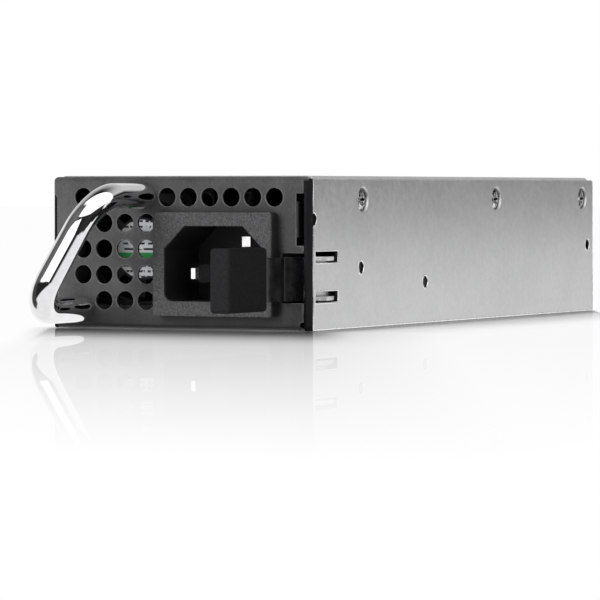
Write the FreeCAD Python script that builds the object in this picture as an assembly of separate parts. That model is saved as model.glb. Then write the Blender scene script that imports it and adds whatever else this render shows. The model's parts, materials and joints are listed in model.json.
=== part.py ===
import FreeCAD, Part
import math
import os

# Hot swap server power supply.
# Millimetres.  +X is to the right as seen from the front, +Y runs to the rear and +Z is up.
# The origin is the middle of the underside.  The front panel's face looks along -Y.

# ---- Case -------------------------------------------------------------------------------
CASE_WIDTH = 61.4
CASE_HEIGHT = 33.6
CASE_LENGTH = 172.2          # front panel's face to the rear wall
COVER_SHEET = 0.8
TRAY_SHEET = 0.6
INNER_BEND = 0.3             # inside radius of every fold
SEAM = 0.05                  # gap between nested sheets
COVER_LIFT = 0.1             # the cover's edges stay this far above the underside
TOP_SETBACK = 4.0            # the cover's top stops this far before the rear
REAR_STEP = 0.6              # the cover's sides drop by this where the top has stopped
REAR_ROUND = 1.3             # rear top corner of the cover's sides
FLANGE_HEIGHT = 5.5          # low side walls of the tray
EAR_WIDTH = 10.0             # tall parts of the tray's sides, behind the cover screws
EAR_HEADROOM = 1.2
EAR_HOLE_GAP = 0.4           # holes in the ears are this much larger than those in the cover

# ---- Cover screws -----------------------------------------------------------------------
SCREW_RADIUS = 1.45
SCREW_LENGTH = 5.0
SCREW_SINK = 2.9             # radius of the dimple's mouth
SCREW_FIT = 0.05
HEAD_SINK = 0.5              # rim of the screw head below the cover's face
HEAD_DOME = 0.3
HEAD_FLAT = 1.5              # radius of the dome's flat top
SCREW_HOLE_GAP = 0.15
SCREW_DROP = 5.2             # below the case's top
FRONT_SCREW = 29.9           # behind the front face
MIDDLE_SCREW = 107.8
REAR_SCREW = 7.5             # before the rear
COLLAR_WALL = 0.8
COLLAR_LENGTH = 1.6
RECESS_SPAN = 2.8            # cross recess in a screw head
RECESS_WIDTH = 0.6
RECESS_DEPTH = 0.9

# ---- Round holes in the right side, (behind the front face, height, radius) ---------------
TOOL_HOLE = (28.9, 13.4, 1.35)
RIVET_HOLE = (64.8, 9.5, 1.35)
REAR_HOLE = (3.9, 16.8, 1.3)  # first value is before the rear

# ---- Front panel and the band behind it ---------------------------------------------------
FRONT_SHEET = 0.8
BAND_DEPTH = 3.4
BAND_SHEET = 0.5
BAND_DROP = 0.6              # band's top below the case's top
BAND_ROUND = 0.8
PANEL_DROP = 0.2             # panel's top below the case's top
PANEL_SIDE_GAP = 0.2         # panel's face to the bands
PANEL_RETURN = 8.4           # how far the folded edges reach back
PANEL_ROUND = 0.7            # upper corners of the face
EAR_DROP = 4.0               # upper left corner runs out to the case's side over this height
EAR_SLOPE = 0.75
RETURN_INSET = 1.7           # folded edges start this far in from the case's sides
LIP_INSET = 1.1              # band's inner lip, in from the case's sides
PANEL_LIFT = 0.1             # panel's lower return above the underside
TAB_INSET = 1.95
TAB_OVERCUT = 0.5            # bend reliefs beyond the tab's outer face
TAB_LOW = 20.3
TAB_HEIGHT = 7.7
TAB_RELIEF = 1.85            # height of the bend reliefs above and below a tab
TAB_RIVET_DEPTH = 3.9
TAB_RIVET_HOLE = 1.3
TAB_RIVET_RADIUS = 0.8
TAB_RIVET_HEAD = 1.2
NOTCH_WIDTH = 1.65           # lower right corner cut out of the face, from the case's side
NOTCH_HEIGHT = 2.0
LEFT_RETURN = 2.3            # depth of the face's folded left edge

# ---- Perforation --------------------------------------------------------------------------
VENT_RADIUS = 2.1
VENT_PITCH_X = 5.18
VENT_PITCH_Z = 5.67
VENT_SIDE = 7.63             # first column, in from the right side
VENT_TOP = 4.65              # first row, below the case's top
VENT_LAND = 0.3              # least metal between a hole and what is next to it
VENT_MARGIN = 4.5            # edge of the sheet that stays whole

# ---- Handle -------------------------------------------------------------------------------
HANDLE_RADIUS = 2.85
HANDLE_REACH = 23.5          # panel's face to the grip's axis
HANDLE_BEND = 8.5            # radius of the rod's axis in its bends
HANDLE_UPPER_LEFT = 22.4     # upper leg, in from the left side
HANDLE_UPPER_DROP = 4.5
HANDLE_LOWER_LEFT = 7.0
HANDLE_LOWER_HEIGHT = 4.25
HANDLE_SCREW_RADIUS = 1.5
HANDLE_SCREW_DEPTH = 8.0
HANDLE_HEAD_RADIUS = 2.5
HANDLE_HEAD_HEIGHT = 1.6

# ---- Power inlet --------------------------------------------------------------------------
INLET_SIDE = 6.9             # flange's edge, in from the right side
INLET_WIDTH = 28.5
INLET_LOW = 3.1
INLET_HEIGHT = 22.6
INLET_FLANGE = 3.2
INLET_ROUND = 0.7
SOCKET_SIDE = 8.84
SOCKET_WIDTH = 23.83
SOCKET_LOW = 6.3
SOCKET_HEIGHT = 16.4
SOCKET_DEPTH = 17.1
SOCKET_CHAMFER = 4.9
SOCKET_ROUND = 2.0
SOCKET_WALL = 1.5
SOCKET_BACK = 2.0
INLET_FIT = 0.1              # panel cut-out round the inlet's body
SNAP_RISE = 0.7
SNAP_LENGTH = 4.0
SNAP_HEIGHT = 6.0
BLADE_WIDTH = 2.0
BLADE_HEIGHT = 4.0
BLADE_SETBACK = 4.4          # blade tips behind the flange's face
BLADE_SPREAD = 14.0
BLADE_RISE = 6.0             # line and neutral centres above the socket's floor
EARTH_RISE = 3.75            # earth blade above the other two
BLADE_TIP = 0.5              # bevels of the tip, sideways and upright
BLADE_TIP_UPRIGHT = 0.85
EARTH_SHOULDER = 2.2
EARTH_SHOULDER_LENGTH = 0.6
TAIL_BACK = 3.2              # tails turn down this far behind the body
TAIL_HEIGHT = 2.0
TAIL_BELOW = 1.2             # tails under the board

# ---- Latch --------------------------------------------------------------------------------
LATCH_SHEET = 0.9
LATCH_LOW = 6.5
LATCH_HEIGHT = 9.55
LATCH_CLEARANCE = 0.3        # strip to the tray's side
LATCH_PIVOT = 50.0           # line where the strip leaves its anchor
LATCH_ANCHOR_LENGTH = 19.0
LATCH_REACH = 4.6            # strip's outer face beside the inlet, in from the right side
LATCH_JOG_BACK = 2.6
LATCH_JOG_FRONT = -1.8
LATCH_BEND = 1.2
LATCH_WINDOW_SIDE = 5.9
LATCH_WINDOW_ABOVE = 0.9
LATCH_WINDOW_BELOW = 0.45
PIVOT_FIT = 0.03
HOOK_FRONT = 5.2
HOOK_LENGTH = 10.4
HOOK_TIP = 3.4               # tip behind the hook's front
HOOK_PROUD = 0.9
HOOK_HEEL = 0.5              # rear end of the hook, in from the right side
HOOK_ROUND = 0.3
HOOK_SLOT_FRONT = 0.5
HOOK_SLOT_BACK = 0.8
HOOK_SLOT_BELOW = 0.4
HOOK_SLOT_ABOVE = 1.15
KNOB_LENGTH = 18.7
KNOB_BACK = -10.9
KNOB_THICKNESS = 4.8
KNOB_COVER = 0.65            # plastic over the strip's outer face
KNOB_ABOVE = 2.25            # above and below the strip
KNOB_BELOW = 1.9
KNOB_ROUND = 0.9
KNOB_GRIP = 16.0             # strip inside the knob
ANCHOR_EAR_FRONT = 55.5
ANCHOR_EAR_BACK = 70.5
ANCHOR_EAR_RISE = 1.5
RIVET_RADIUS = 0.8
RIVET_HEAD_OUT = 1.15
RIVET_HEAD_IN = 1.7
RIVET_HEAD_HEIGHT = 0.6

# ---- Fan ----------------------------------------------------------------------------------
FAN_DEPTH = 10.0
FAN_FRONT = 14.0
FAN_CLEARANCE = 1.1          # least gap above and below
FAN_RAISE = 0.7              # fan's centre above the middle of the space
FAN_SIDE_GAP = 0.55
FAN_INLET_GAP = 0.2
FAN_WALL = 0.8
FAN_CORNER = 2.0
FAN_HUB = 7.1
FAN_HUB_PLATE = 2.2
FAN_STRUT = 1.6
FAN_STRUTS = 4
FAN_SCREW_INSET = 2.5
FAN_SCREW_RADIUS = 1.1
FAN_SCREW_HEAD = 2.0
FAN_SCREW_LENGTH = 7.0
FAN_LABEL_RADIUS = 6.5
FAN_LABEL_SHEET = 0.1
FAN_TUBE = 2.6
FAN_TUBE_LENGTH = 5.0
BEARING_RADIUS = 1.8
SHAFT_RADIUS = 1.0
SHAFT_FIT = 0.03
ROTOR_GAP = 0.6
ROTOR_TIP_GAP = 0.6
ROTOR_SKIRT = 0.8
ROTOR_BACK = 1.2
ROTOR_BOSS = 2.2
BLADE_COUNT = 7
BLADE_THICKNESS = 0.9
BLADE_PITCH_ROOT = 38.0      # degrees from the shaft's direction
BLADE_PITCH_TIP = 52.0
STATOR_RADIUS = 5.7
STATOR_HEIGHT = 5.0
STATOR_SLOT = 1.6
BRACKET_SHEET = 0.6
BRACKET_FOOT = 8.0
BRACKET_INSET = 0.3
BRACKET_WEB = 0.4            # least metal between its opening and the screw heads

# ---- Circuit board ------------------------------------------------------------------------
BOARD_HEIGHT = 5.0
BOARD_SHEET = 1.6
BOARD_FRONT = 33.5
BOARD_REAR_GAP = 3.0
BOARD_SIDE_GAP = 4.6
TONGUE_SIDE = 7.0
TONGUE_FRONT = 16.6
TONGUE_FAN_GAP = 0.7
INSULATOR_SHEET = 0.25
STANDOFF_FLATS = 5.0
STANDOFF_SIDE = 7.5
STANDOFF_FRONT = 44.0
STANDOFF_REAR = 9.0
BOARD_SCREW_RADIUS = 1.5
BOARD_SCREW_HEAD = 2.7
BOARD_SCREW_HEIGHT = 1.7
ROOF_CLEARANCE = 2.0         # tall components to the cover

# ---- Rear wall and output connector -------------------------------------------------------
REAR_VENT_RADIUS = 1.6
REAR_VENT_PITCH = 4.6
REAR_VENT_SIDE = 6.0
REAR_VENT_TOP = 4.6
REAR_VENT_ROWS = 2
PLUG_SIDE = 10.7             # output connector, in from the case's sides
PLUG_HEIGHT = 12.0
PLUG_DEPTH = 12.0
PLUG_WALL = 1.3
PLUG_FLOOR = 2.0
PLUG_LIFT = 0.0
PLUG_FIT = 0.1
CONTACT_COUNT = 6
CONTACT_PITCH = 4.0
CONTACT_SHEET = 0.8
CONTACT_SETBACK = 5.0
SIGNAL_COUNT = 4
SIGNAL_PITCH = 2.54
SIGNAL_WIDTH = 0.64

FRONT = -CASE_LENGTH / 2
REAR = CASE_LENGTH / 2
HALF = CASE_WIDTH / 2
ROOF = CASE_HEIGHT - COVER_SHEET
TRAY_SIDE = COVER_SHEET + SEAM                       # tray's outer face, in from the case's side
TRAY_INSIDE = TRAY_SIDE + TRAY_SHEET
SCREW_HEIGHT = CASE_HEIGHT - SCREW_DROP
BOARD_TOP = BOARD_HEIGHT + BOARD_SHEET
PART_TOP = ROOF - ROOF_CLEARANCE


# ---- Plain tools --------------------------------------------------------------------------
def behind(distance):
    """Y of a plane this far behind the front panel's face."""
    return FRONT + distance


def before_rear(distance):
    """Y of a plane this far before the rear."""
    return REAR - distance


def from_right(distance):
    """X of a plane this far in from the right side."""
    return HALF - distance


def from_left(distance):
    """X of a plane this far in from the left side."""
    return distance - HALF


def spot(axis, level, pair):
    """Point with these two coordinates on the plane across the axis."""
    if axis == "x":
        return FreeCAD.Vector(level, pair[0], pair[1])
    if axis == "y":
        return FreeCAD.Vector(pair[0], level, pair[1])
    return FreeCAD.Vector(pair[0], pair[1], level)


def block(x, y, z):
    """Box between two values on each axis, in either order."""
    corner = FreeCAD.Vector(min(x), min(y), min(z))
    return Part.makeBox(abs(x[1] - x[0]), abs(y[1] - y[0]), abs(z[1] - z[0]), corner)


def rounded_corner(previous, corner, following):
    """Start, middle and end of a corner: one point where it has no radius."""
    point = FreeCAD.Vector(corner[0], corner[1], 0)
    radius = corner[2] if len(corner) > 2 else 0
    if radius <= 0:
        return point, None, point
    back = FreeCAD.Vector(previous[0], previous[1], 0) - point
    ahead = FreeCAD.Vector(following[0], following[1], 0) - point
    back.normalize()
    ahead.normalize()
    half_angle = back.getAngle(ahead) / 2
    bisector = back + ahead
    bisector.normalize()
    reach = radius / math.tan(half_angle)
    middle = point + bisector * (radius / math.sin(half_angle) - radius)
    return point + back * reach, middle, point + ahead * reach


def prism(axis, low, high, corners):
    """Outline of (a, b) or (a, b, radius) corners, drawn across the axis and pulled along it."""
    rounded = []
    for index, corner in enumerate(corners):
        following = corners[(index + 1) % len(corners)]
        rounded.append(rounded_corner(corners[index - 1], corner, following))
    edges = []
    for index, (start, middle, end) in enumerate(rounded):
        points = [spot(axis, low, (point.x, point.y)) for point in (start, middle or start, end)]
        if middle is not None:
            edges.append(Part.Arc(*points).toShape())
        following = rounded[(index + 1) % len(rounded)][0]
        if end.distanceToPoint(following) > 1e-6:
            edges.append(Part.makeLine(points[2], spot(axis, low, (following.x, following.y))))
    face = Part.Face(Part.Wire(edges))
    return face.extrude(spot(axis, high - low, (0, 0)))


def rectangle(first, second, radius=0):
    """Four corners between two values on each of two axes."""
    a = sorted(first)
    b = sorted(second)
    return [(a[0], b[0], radius), (a[1], b[0], radius), (a[1], b[1], radius), (a[0], b[1], radius)]


def rod(axis, low, high, centre, radius):
    """Cylinder between two levels of an axis."""
    return Part.makeCylinder(radius, high - low, spot(axis, low, centre), spot(axis, 1, (0, 0)))


def cone(axis, low, high, centre, radius_low, radius_high):
    """Cone between two levels of an axis."""
    return Part.makeCone(radius_low, radius_high, high - low, spot(axis, low, centre), spot(axis, 1, (0, 0)))


def tube(axis, low, high, centre, outer, inner):
    """Hollow cylinder."""
    return rod(axis, low, high, centre, outer).cut(rod(axis, low, high, centre, inner))


def turned(axis, centre, profile):
    """Solid of revolution from (radius, level) corners."""
    across = [spot(axis, level, (centre[0] + radius, centre[1])) for radius, level in profile]
    face = Part.Face(Part.makePolygon(across + across[:1]))
    return face.revolve(spot(axis, 0, centre), spot(axis, 1, (0, 0)), 360)


def join(shapes):
    """One solid from touching shapes, with the seams between them removed."""
    return shapes[0].fuse(shapes[1:]).removeSplitter()


def mirrored(shape):
    """Copy on the other side of the middle plane."""
    return shape.mirror(FreeCAD.Vector(0, 0, 0), FreeCAD.Vector(1, 0, 0))


def both_sides(shape):
    """The shape and its mirrored copy."""
    return [shape, mirrored(shape)]


def save(name, shapes):
    """Write one node; a list becomes a group of separate solids."""
    shape = Part.makeCompound(shapes) if isinstance(shapes, list) else shapes
    shape.exportStep(os.path.join("parts", name + ".step"))


def side_cone(start, end, start_radius, end_radius, place):
    """Cone that goes in from the right side between two depths."""
    return cone("x", from_right(end), from_right(start), place, end_radius, start_radius)


def side_rod(start, end, radius, place):
    """Cylinder that goes in from the right side between two depths."""
    return rod("x", from_right(end), from_right(start), place, radius)


# ---- Places that several pieces share -----------------------------------------------------
def screw_places():
    """Cover screws on the right side, as (y, z)."""
    rows = [behind(FRONT_SCREW), behind(MIDDLE_SCREW), before_rear(REAR_SCREW)]
    return [(y, SCREW_HEIGHT) for y in rows]


def tab_rivet_place():
    return (behind(TAB_RIVET_DEPTH), TAB_LOW + TAB_HEIGHT / 2)


def latch_rivet_place():
    return (behind(RIVET_HOLE[0]), RIVET_HOLE[1])


def handle_feet():
    """Upper and lower leg of the handle, as (x, z)."""
    upper = (from_left(HANDLE_UPPER_LEFT), CASE_HEIGHT - HANDLE_UPPER_DROP)
    lower = (from_left(HANDLE_LOWER_LEFT), HANDLE_LOWER_HEIGHT)
    return [upper, lower]


def socket_corners(grow):
    """Outline of the inlet's socket, grown outwards: upper corners cut off, lower ones rounded."""
    right = from_right(SOCKET_SIDE - grow)
    left = from_right(SOCKET_SIDE + SOCKET_WIDTH + grow)
    low = SOCKET_LOW - grow
    high = SOCKET_LOW + SOCKET_HEIGHT + grow
    cut = SOCKET_CHAMFER + grow * math.tan(math.pi / 8)
    turn = SOCKET_ROUND + grow
    lower = [(left, low, turn), (right, low, turn)]
    upper = [(right, high - cut), (right - cut, high), (left + cut, high), (left, high - cut)]
    return lower + upper


def fan_centre():
    return (from_left(TRAY_INSIDE + FAN_SIDE_GAP + fan_size() / 2), (ROOF + TRAY_SHEET) / 2 + FAN_RAISE)


def fan_size():
    """Largest square that fits beside the inlet and under the roof."""
    inlet = SOCKET_SIDE + SOCKET_WIDTH + SOCKET_WALL
    wide = CASE_WIDTH - TRAY_INSIDE - FAN_SIDE_GAP - inlet - FAN_INLET_GAP
    tall = ROOF - TRAY_SHEET - 2 * (FAN_CLEARANCE + FAN_RAISE)
    return min(wide, tall)


def fan_screw_places():
    x, z = fan_centre()
    offset = fan_size() / 2 - FAN_SCREW_INSET
    return [(x + i * offset, z + k * offset) for i in (-1, 1) for k in (-1, 1)]


def standoff_places():
    """Board fixings, as (x, y)."""
    across = [from_left(STANDOFF_SIDE), from_right(STANDOFF_SIDE)]
    return [(x, y) for x in across for y in (behind(STANDOFF_FRONT), before_rear(STANDOFF_REAR))]


def blade_centres():
    """Middle of the line, neutral and earth blades, as (x, z)."""
    middle = from_right(SOCKET_SIDE + SOCKET_WIDTH / 2)
    level = SOCKET_LOW + BLADE_RISE
    offset = BLADE_SPREAD / 2
    return {
        "line_pin": (middle + offset, level),
        "neutral_pin": (middle - offset, level),
        "earth_pin": (middle, level + EARTH_RISE),
    }


def strip_faces():
    """Outer and inner face of the latch strip inside the case, in from the right side."""
    outer = TRAY_INSIDE + LATCH_CLEARANCE
    return outer, outer + LATCH_SHEET


# ---- Case pieces --------------------------------------------------------------------------
def top_cover():
    """Folded cover: the top and both sides, dimpled for its screws."""
    length = (behind(BAND_DEPTH), REAR)
    fold = COVER_SHEET + INNER_BEND
    lower = [(-HALF, COVER_LIFT), (HALF, COVER_LIFT)]
    outside = prism("y", length[0], length[1], lower + [(HALF, CASE_HEIGHT, fold), (-HALF, CASE_HEIGHT, fold)])
    inner = HALF - COVER_SHEET
    roof = [(inner, ROOF, INNER_BEND), (-inner, ROOF, INNER_BEND)]
    inside = prism("y", length[0], length[1], [(-inner, 0), (inner, 0)] + roof)
    cover = outside.cut(inside)
    shoulder = CASE_HEIGHT - REAR_STEP
    notch = block((-HALF, HALF), (before_rear(TOP_SETBACK), REAR), (shoulder, CASE_HEIGHT))
    underside = block((-inner, inner), (before_rear(TOP_SETBACK), REAR), (ROOF - INNER_BEND, CASE_HEIGHT))
    corner = block((-HALF, HALF), (before_rear(REAR_ROUND), REAR), (shoulder - REAR_ROUND, shoulder))
    turn = rod("x", -HALF, HALF, (before_rear(REAR_ROUND), shoulder - REAR_ROUND), REAR_ROUND)
    cover = cover.cut([notch, underside, corner.cut(turn)])
    dimple_depth = SCREW_SINK - SCREW_RADIUS - SCREW_HOLE_GAP
    hole = SCREW_SINK - dimple_depth
    backs = []
    seats = []
    for place in screw_places():
        backs += both_sides(side_cone(COVER_SHEET, COVER_SHEET + dimple_depth, SCREW_SINK, hole, place))
        seats += both_sides(side_cone(0, dimple_depth, SCREW_SINK, hole, place))
        seats += both_sides(side_rod(dimple_depth, dimple_depth + COVER_SHEET, hole, place))
    seats.append(side_rod(0, COVER_SHEET, TAB_RIVET_HOLE, tab_rivet_place()))
    seats.append(side_rod(0, COVER_SHEET, TOOL_HOLE[2], (behind(TOOL_HOLE[0]), TOOL_HOLE[1])))
    seats.append(side_rod(0, COVER_SHEET, RIVET_HOLE[2], latch_rivet_place()))
    seats.append(side_rod(0, COVER_SHEET, REAR_HOLE[2], (before_rear(REAR_HOLE[0]), REAR_HOLE[1])))
    return join([cover] + backs).cut(seats + hook_slots())


def hook_slots():
    """Openings in the right side that the latch hooks stand through."""
    length = (behind(HOOK_FRONT - HOOK_SLOT_FRONT), behind(HOOK_FRONT + HOOK_LENGTH + HOOK_SLOT_BACK))
    slots = []
    for low in (LATCH_LOW, LATCH_LOW + LATCH_HEIGHT - LATCH_SHEET):
        height = (low - HOOK_SLOT_BELOW, low + LATCH_SHEET + HOOK_SLOT_ABOVE)
        slots.append(block((from_right(COVER_SHEET), HALF), length, height))
    return slots


def chassis_tray():
    """Folded tray: floor, low sides with tall ears at the cover screws, and the rear wall."""
    side = HALF - TRAY_SIDE
    fold = TRAY_SHEET + INNER_BEND
    top = ROOF - EAR_HEADROOM
    front = behind(FRONT_SHEET + SEAM)
    outside = prism("y", front, REAR, [(-side, 0, fold), (side, 0, fold), (side, top), (-side, top)])
    inner = side - TRAY_SHEET
    lower = [(-inner, TRAY_SHEET, INNER_BEND), (inner, TRAY_SHEET, INNER_BEND)]
    hollow = prism("y", front, REAR - TRAY_SHEET, lower + [(inner, top), (-inner, top)])
    tray = outside.cut(hollow)
    rear_wall = block((-side, side), (REAR - TRAY_SHEET, REAR), (fold, ROOF - SEAM))
    rear_fold = block((-inner, inner), (before_rear(TOP_SETBACK * 2), REAR), (ROOF - SEAM - TRAY_SHEET, ROOF - SEAM))
    tray = join([tray, rear_wall, rear_fold])
    floor_front = block((-side, side), (FRONT, behind(PANEL_RETURN + SEAM)), (0, fold))
    behind_band = block((-side, side), (FRONT, behind(BAND_DEPTH + SEAM)), (0, top))
    tray = tray.cut(tray_windows(side, top) + [floor_front, behind_band])
    tray = join([tray] + ear_dimples() + [latch_pad(), tray_lip()])
    return tray.cut(ear_holes() + rear_wall_holes() + lip_rivet_holes())


def lip_levels():
    """Underside and top of the tray's raised lip."""
    low = PANEL_LIFT + FRONT_SHEET + SEAM
    return low, low + TRAY_SHEET


def tray_lip():
    """The floor's front edge, stepped up to lie on the panel's lower return."""
    low, high = lip_levels()
    front = behind(BAND_DEPTH)
    step = behind(PANEL_RETURN + SEAM)
    riser = step + TRAY_SHEET
    floor = riser + TRAY_SHEET
    side = [(front, low), (step, low), (step, 0), (floor, 0), (floor, TRAY_SHEET), (riser, TRAY_SHEET)]
    side += [(riser, high), (front, high)]
    half = HALF - TRAY_INSIDE - INNER_BEND
    return prism("x", -half, half, side)


def lip_rivet_holes():
    low, high = lip_levels()
    return [rod("z", low, high, place, TAB_RIVET_RADIUS) for place in foot_rivet_places()]


def tray_windows(side, top):
    """Sides cut down to the low flange between the ears."""
    ears = [(y - EAR_WIDTH / 2, y + EAR_WIDTH / 2) for y, _ in screw_places()]
    gaps = [(FRONT, ears[0][0]), (ears[0][1], ears[1][0]), (ears[1][1], ears[2][0])]
    gaps.append((ears[2][1], REAR - TRAY_SHEET))
    windows = [block((-side, 0), gap, (FLANGE_HEIGHT, top)) for gap in gaps]
    ear = (behind(ANCHOR_EAR_FRONT), behind(ANCHOR_EAR_BACK))
    ear_top = LATCH_LOW + LATCH_HEIGHT + ANCHOR_EAR_RISE
    right = [gaps[0], (gaps[1][0], ear[0]), (ear[1], gaps[1][1]), gaps[2], gaps[3]]
    windows += [block((0, side), gap, (FLANGE_HEIGHT, top)) for gap in right]
    windows.append(block((0, side), ear, (ear_top, top)))
    return windows


def ear_dimples():
    """Cups in the ears that take the cover's dimples, each with a threaded collar."""
    depth = SCREW_SINK - SCREW_RADIUS - SCREW_HOLE_GAP
    hole = SCREW_SINK - depth
    start = TRAY_INSIDE
    collar = SCREW_RADIUS + SCREW_FIT + COLLAR_WALL
    cups = []
    for place in screw_places():
        cups += both_sides(side_cone(start, start + depth, SCREW_SINK, hole, place))
        cups += both_sides(side_rod(start, start + depth + COLLAR_LENGTH, collar, place))
    return cups


def ear_holes():
    depth = SCREW_SINK - SCREW_RADIUS - SCREW_HOLE_GAP
    hole = SCREW_SINK - depth
    thread = SCREW_RADIUS + SCREW_FIT
    end = TRAY_INSIDE + depth + COLLAR_LENGTH
    holes = []
    for place in screw_places():
        holes += both_sides(side_cone(TRAY_SIDE, TRAY_SIDE + depth, SCREW_SINK, hole, place))
        holes += both_sides(side_rod(TRAY_SIDE, end, thread, place))
    outer, _ = strip_faces()
    holes.append(side_rod(TRAY_SIDE, outer, RIVET_RADIUS, latch_rivet_place()))
    holes.append(side_rod(TRAY_SIDE, TRAY_INSIDE, TOOL_HOLE[2] + EAR_HOLE_GAP, (behind(TOOL_HOLE[0]), TOOL_HOLE[1])))
    rear = (before_rear(REAR_HOLE[0]), REAR_HOLE[1])
    holes.append(side_rod(TRAY_SIDE, TRAY_INSIDE, REAR_HOLE[2] + EAR_HOLE_GAP, rear))
    return holes


def latch_pad():
    """Raised pad that holds the latch's anchor clear of the tray's side."""
    outer, _ = strip_faces()
    y, z = latch_rivet_place()
    return side_rod(TRAY_INSIDE, outer, RIVET_HEAD_IN * 1.5, (y, z))


def rear_wall_holes():
    """Vent holes above the output connector, and the connector's opening."""
    holes = []
    usable = CASE_WIDTH - 2 * REAR_VENT_SIDE
    columns = int(usable // REAR_VENT_PITCH) + 1
    start = -(columns - 1) * REAR_VENT_PITCH / 2
    for row in range(REAR_VENT_ROWS):
        z = CASE_HEIGHT - REAR_VENT_TOP - row * REAR_VENT_PITCH
        for column in range(columns):
            place = (start + column * REAR_VENT_PITCH, z)
            holes.append(rod("y", REAR - TRAY_SHEET, REAR, place, REAR_VENT_RADIUS))
    holes.append(block(*plug_box(PLUG_FIT)))
    return holes


def plug_box(grow):
    """Space of the output connector, grown outwards."""
    low = BOARD_TOP + PLUG_LIFT
    x = (from_left(PLUG_SIDE - grow), from_right(PLUG_SIDE - grow))
    return x, (REAR - PLUG_DEPTH, REAR), (low - grow, low + PLUG_HEIGHT + grow)


def cover_screws():
    """Raised countersunk cross-head screws, sunk in the cover's dimples."""
    screws = []
    for place in screw_places():
        neck = SCREW_SINK - SCREW_RADIUS
        dome = side_cone(HEAD_SINK - HEAD_DOME, HEAD_SINK, HEAD_FLAT, SCREW_SINK - HEAD_SINK, place)
        head = side_cone(HEAD_SINK, neck, SCREW_SINK - HEAD_SINK, SCREW_RADIUS, place)
        shank = side_rod(neck, SCREW_LENGTH, SCREW_RADIUS, place)
        screws += both_sides(join([dome, head, shank]).cut(cross_recess(place)))
    return screws


def cross_recess(place):
    """Two crossing slots, to be cut from a screw head on the right side."""
    y, z = place
    x = (from_right(HEAD_SINK + RECESS_DEPTH), HALF)
    long = RECESS_SPAN / 2
    short = RECESS_WIDTH / 2
    across = block(x, (y - long, y + long), (z - short, z + short))
    upright = block(x, (y - short, y + short), (z - long, z + long))
    return [across, upright]


# ---- Front --------------------------------------------------------------------------------
def front_frame():
    """Black frame: side bands flush with the cover, and a lip that the cover slides over."""
    band_top = CASE_HEIGHT - BAND_DROP
    sheet = FRONT_SHEET
    ends = [(FRONT, COVER_LIFT, BAND_ROUND), (behind(BAND_DEPTH - SEAM), COVER_LIFT)]
    ends += [(behind(BAND_DEPTH - SEAM), band_top), (FRONT, band_top, BAND_ROUND)]
    band = prism("x", from_right(BAND_SHEET), HALF, ends)
    step = (behind(BAND_DEPTH - SEAM - sheet), behind(BAND_DEPTH - SEAM))
    foot = PANEL_LIFT + sheet + SEAM
    low = lip_levels()[1] + SEAM
    high = CASE_HEIGHT - PANEL_DROP - sheet - SEAM
    lip_x = HALF - LIP_INSET - sheet
    ring = block((-HALF, HALF), step, (foot, high))
    ring = ring.cut(block((-lip_x, lip_x), step, (low + sheet, high - sheet)))
    back = (behind(BAND_DEPTH - SEAM), behind(PANEL_RETURN))
    lower = block((-lip_x, lip_x), back, (low, low + sheet))
    upper = block((-lip_x, lip_x), (behind(sheet + INNER_BEND), back[1]), (high - sheet, high))
    lip_low = LATCH_LOW + LATCH_HEIGHT + ANCHOR_EAR_RISE
    lip = block((lip_x, HALF - LIP_INSET), back, (lip_low, high))
    frame = join([ring, lower, upper] + both_sides(band) + both_sides(lip))
    gap = (FLANGE_HEIGHT, lip_low)
    cuts = [block((from_right(LATCH_REACH), from_right(BAND_SHEET)), step, gap)]
    cuts.append(side_rod(0, LIP_INSET + sheet, TAB_RIVET_RADIUS, tab_rivet_place()))
    cuts.append(side_rod(0, LIP_INSET, TAB_RIVET_HOLE, tab_rivet_place()))
    cuts += [rod("z", low, low + sheet, place, TAB_RIVET_RADIUS) for place in foot_rivet_places()]
    panel_front = (FRONT, behind(sheet + INNER_BEND + SEAM))
    cuts.append(block((from_right(BAND_SHEET), HALF), panel_front, (high, CASE_HEIGHT)))
    cuts.append(left_ear(panel_front, CASE_HEIGHT, SEAM))
    return frame.cut(cuts)


def left_ear(depth, top, clearance):
    """Space of the panel's upper left corner in front of the band, with a sloping underside."""
    level = CASE_HEIGHT - EAR_DROP - clearance
    inside = from_left(BAND_SHEET + PANEL_SIDE_GAP)
    corners = [(-HALF, level), (inside, level - EAR_SLOPE), (inside, top), (-HALF, top)]
    return prism("y", depth[0], depth[1], corners)


def foot_rivet_places():
    """Rivets through the panel's lower return, the tray's lip and the frame, as (x, y)."""
    y = behind((BAND_DEPTH + PANEL_RETURN) / 2)
    return [(from_left(CASE_WIDTH / 4), y), (from_right(CASE_WIDTH / 4), y)]


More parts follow.
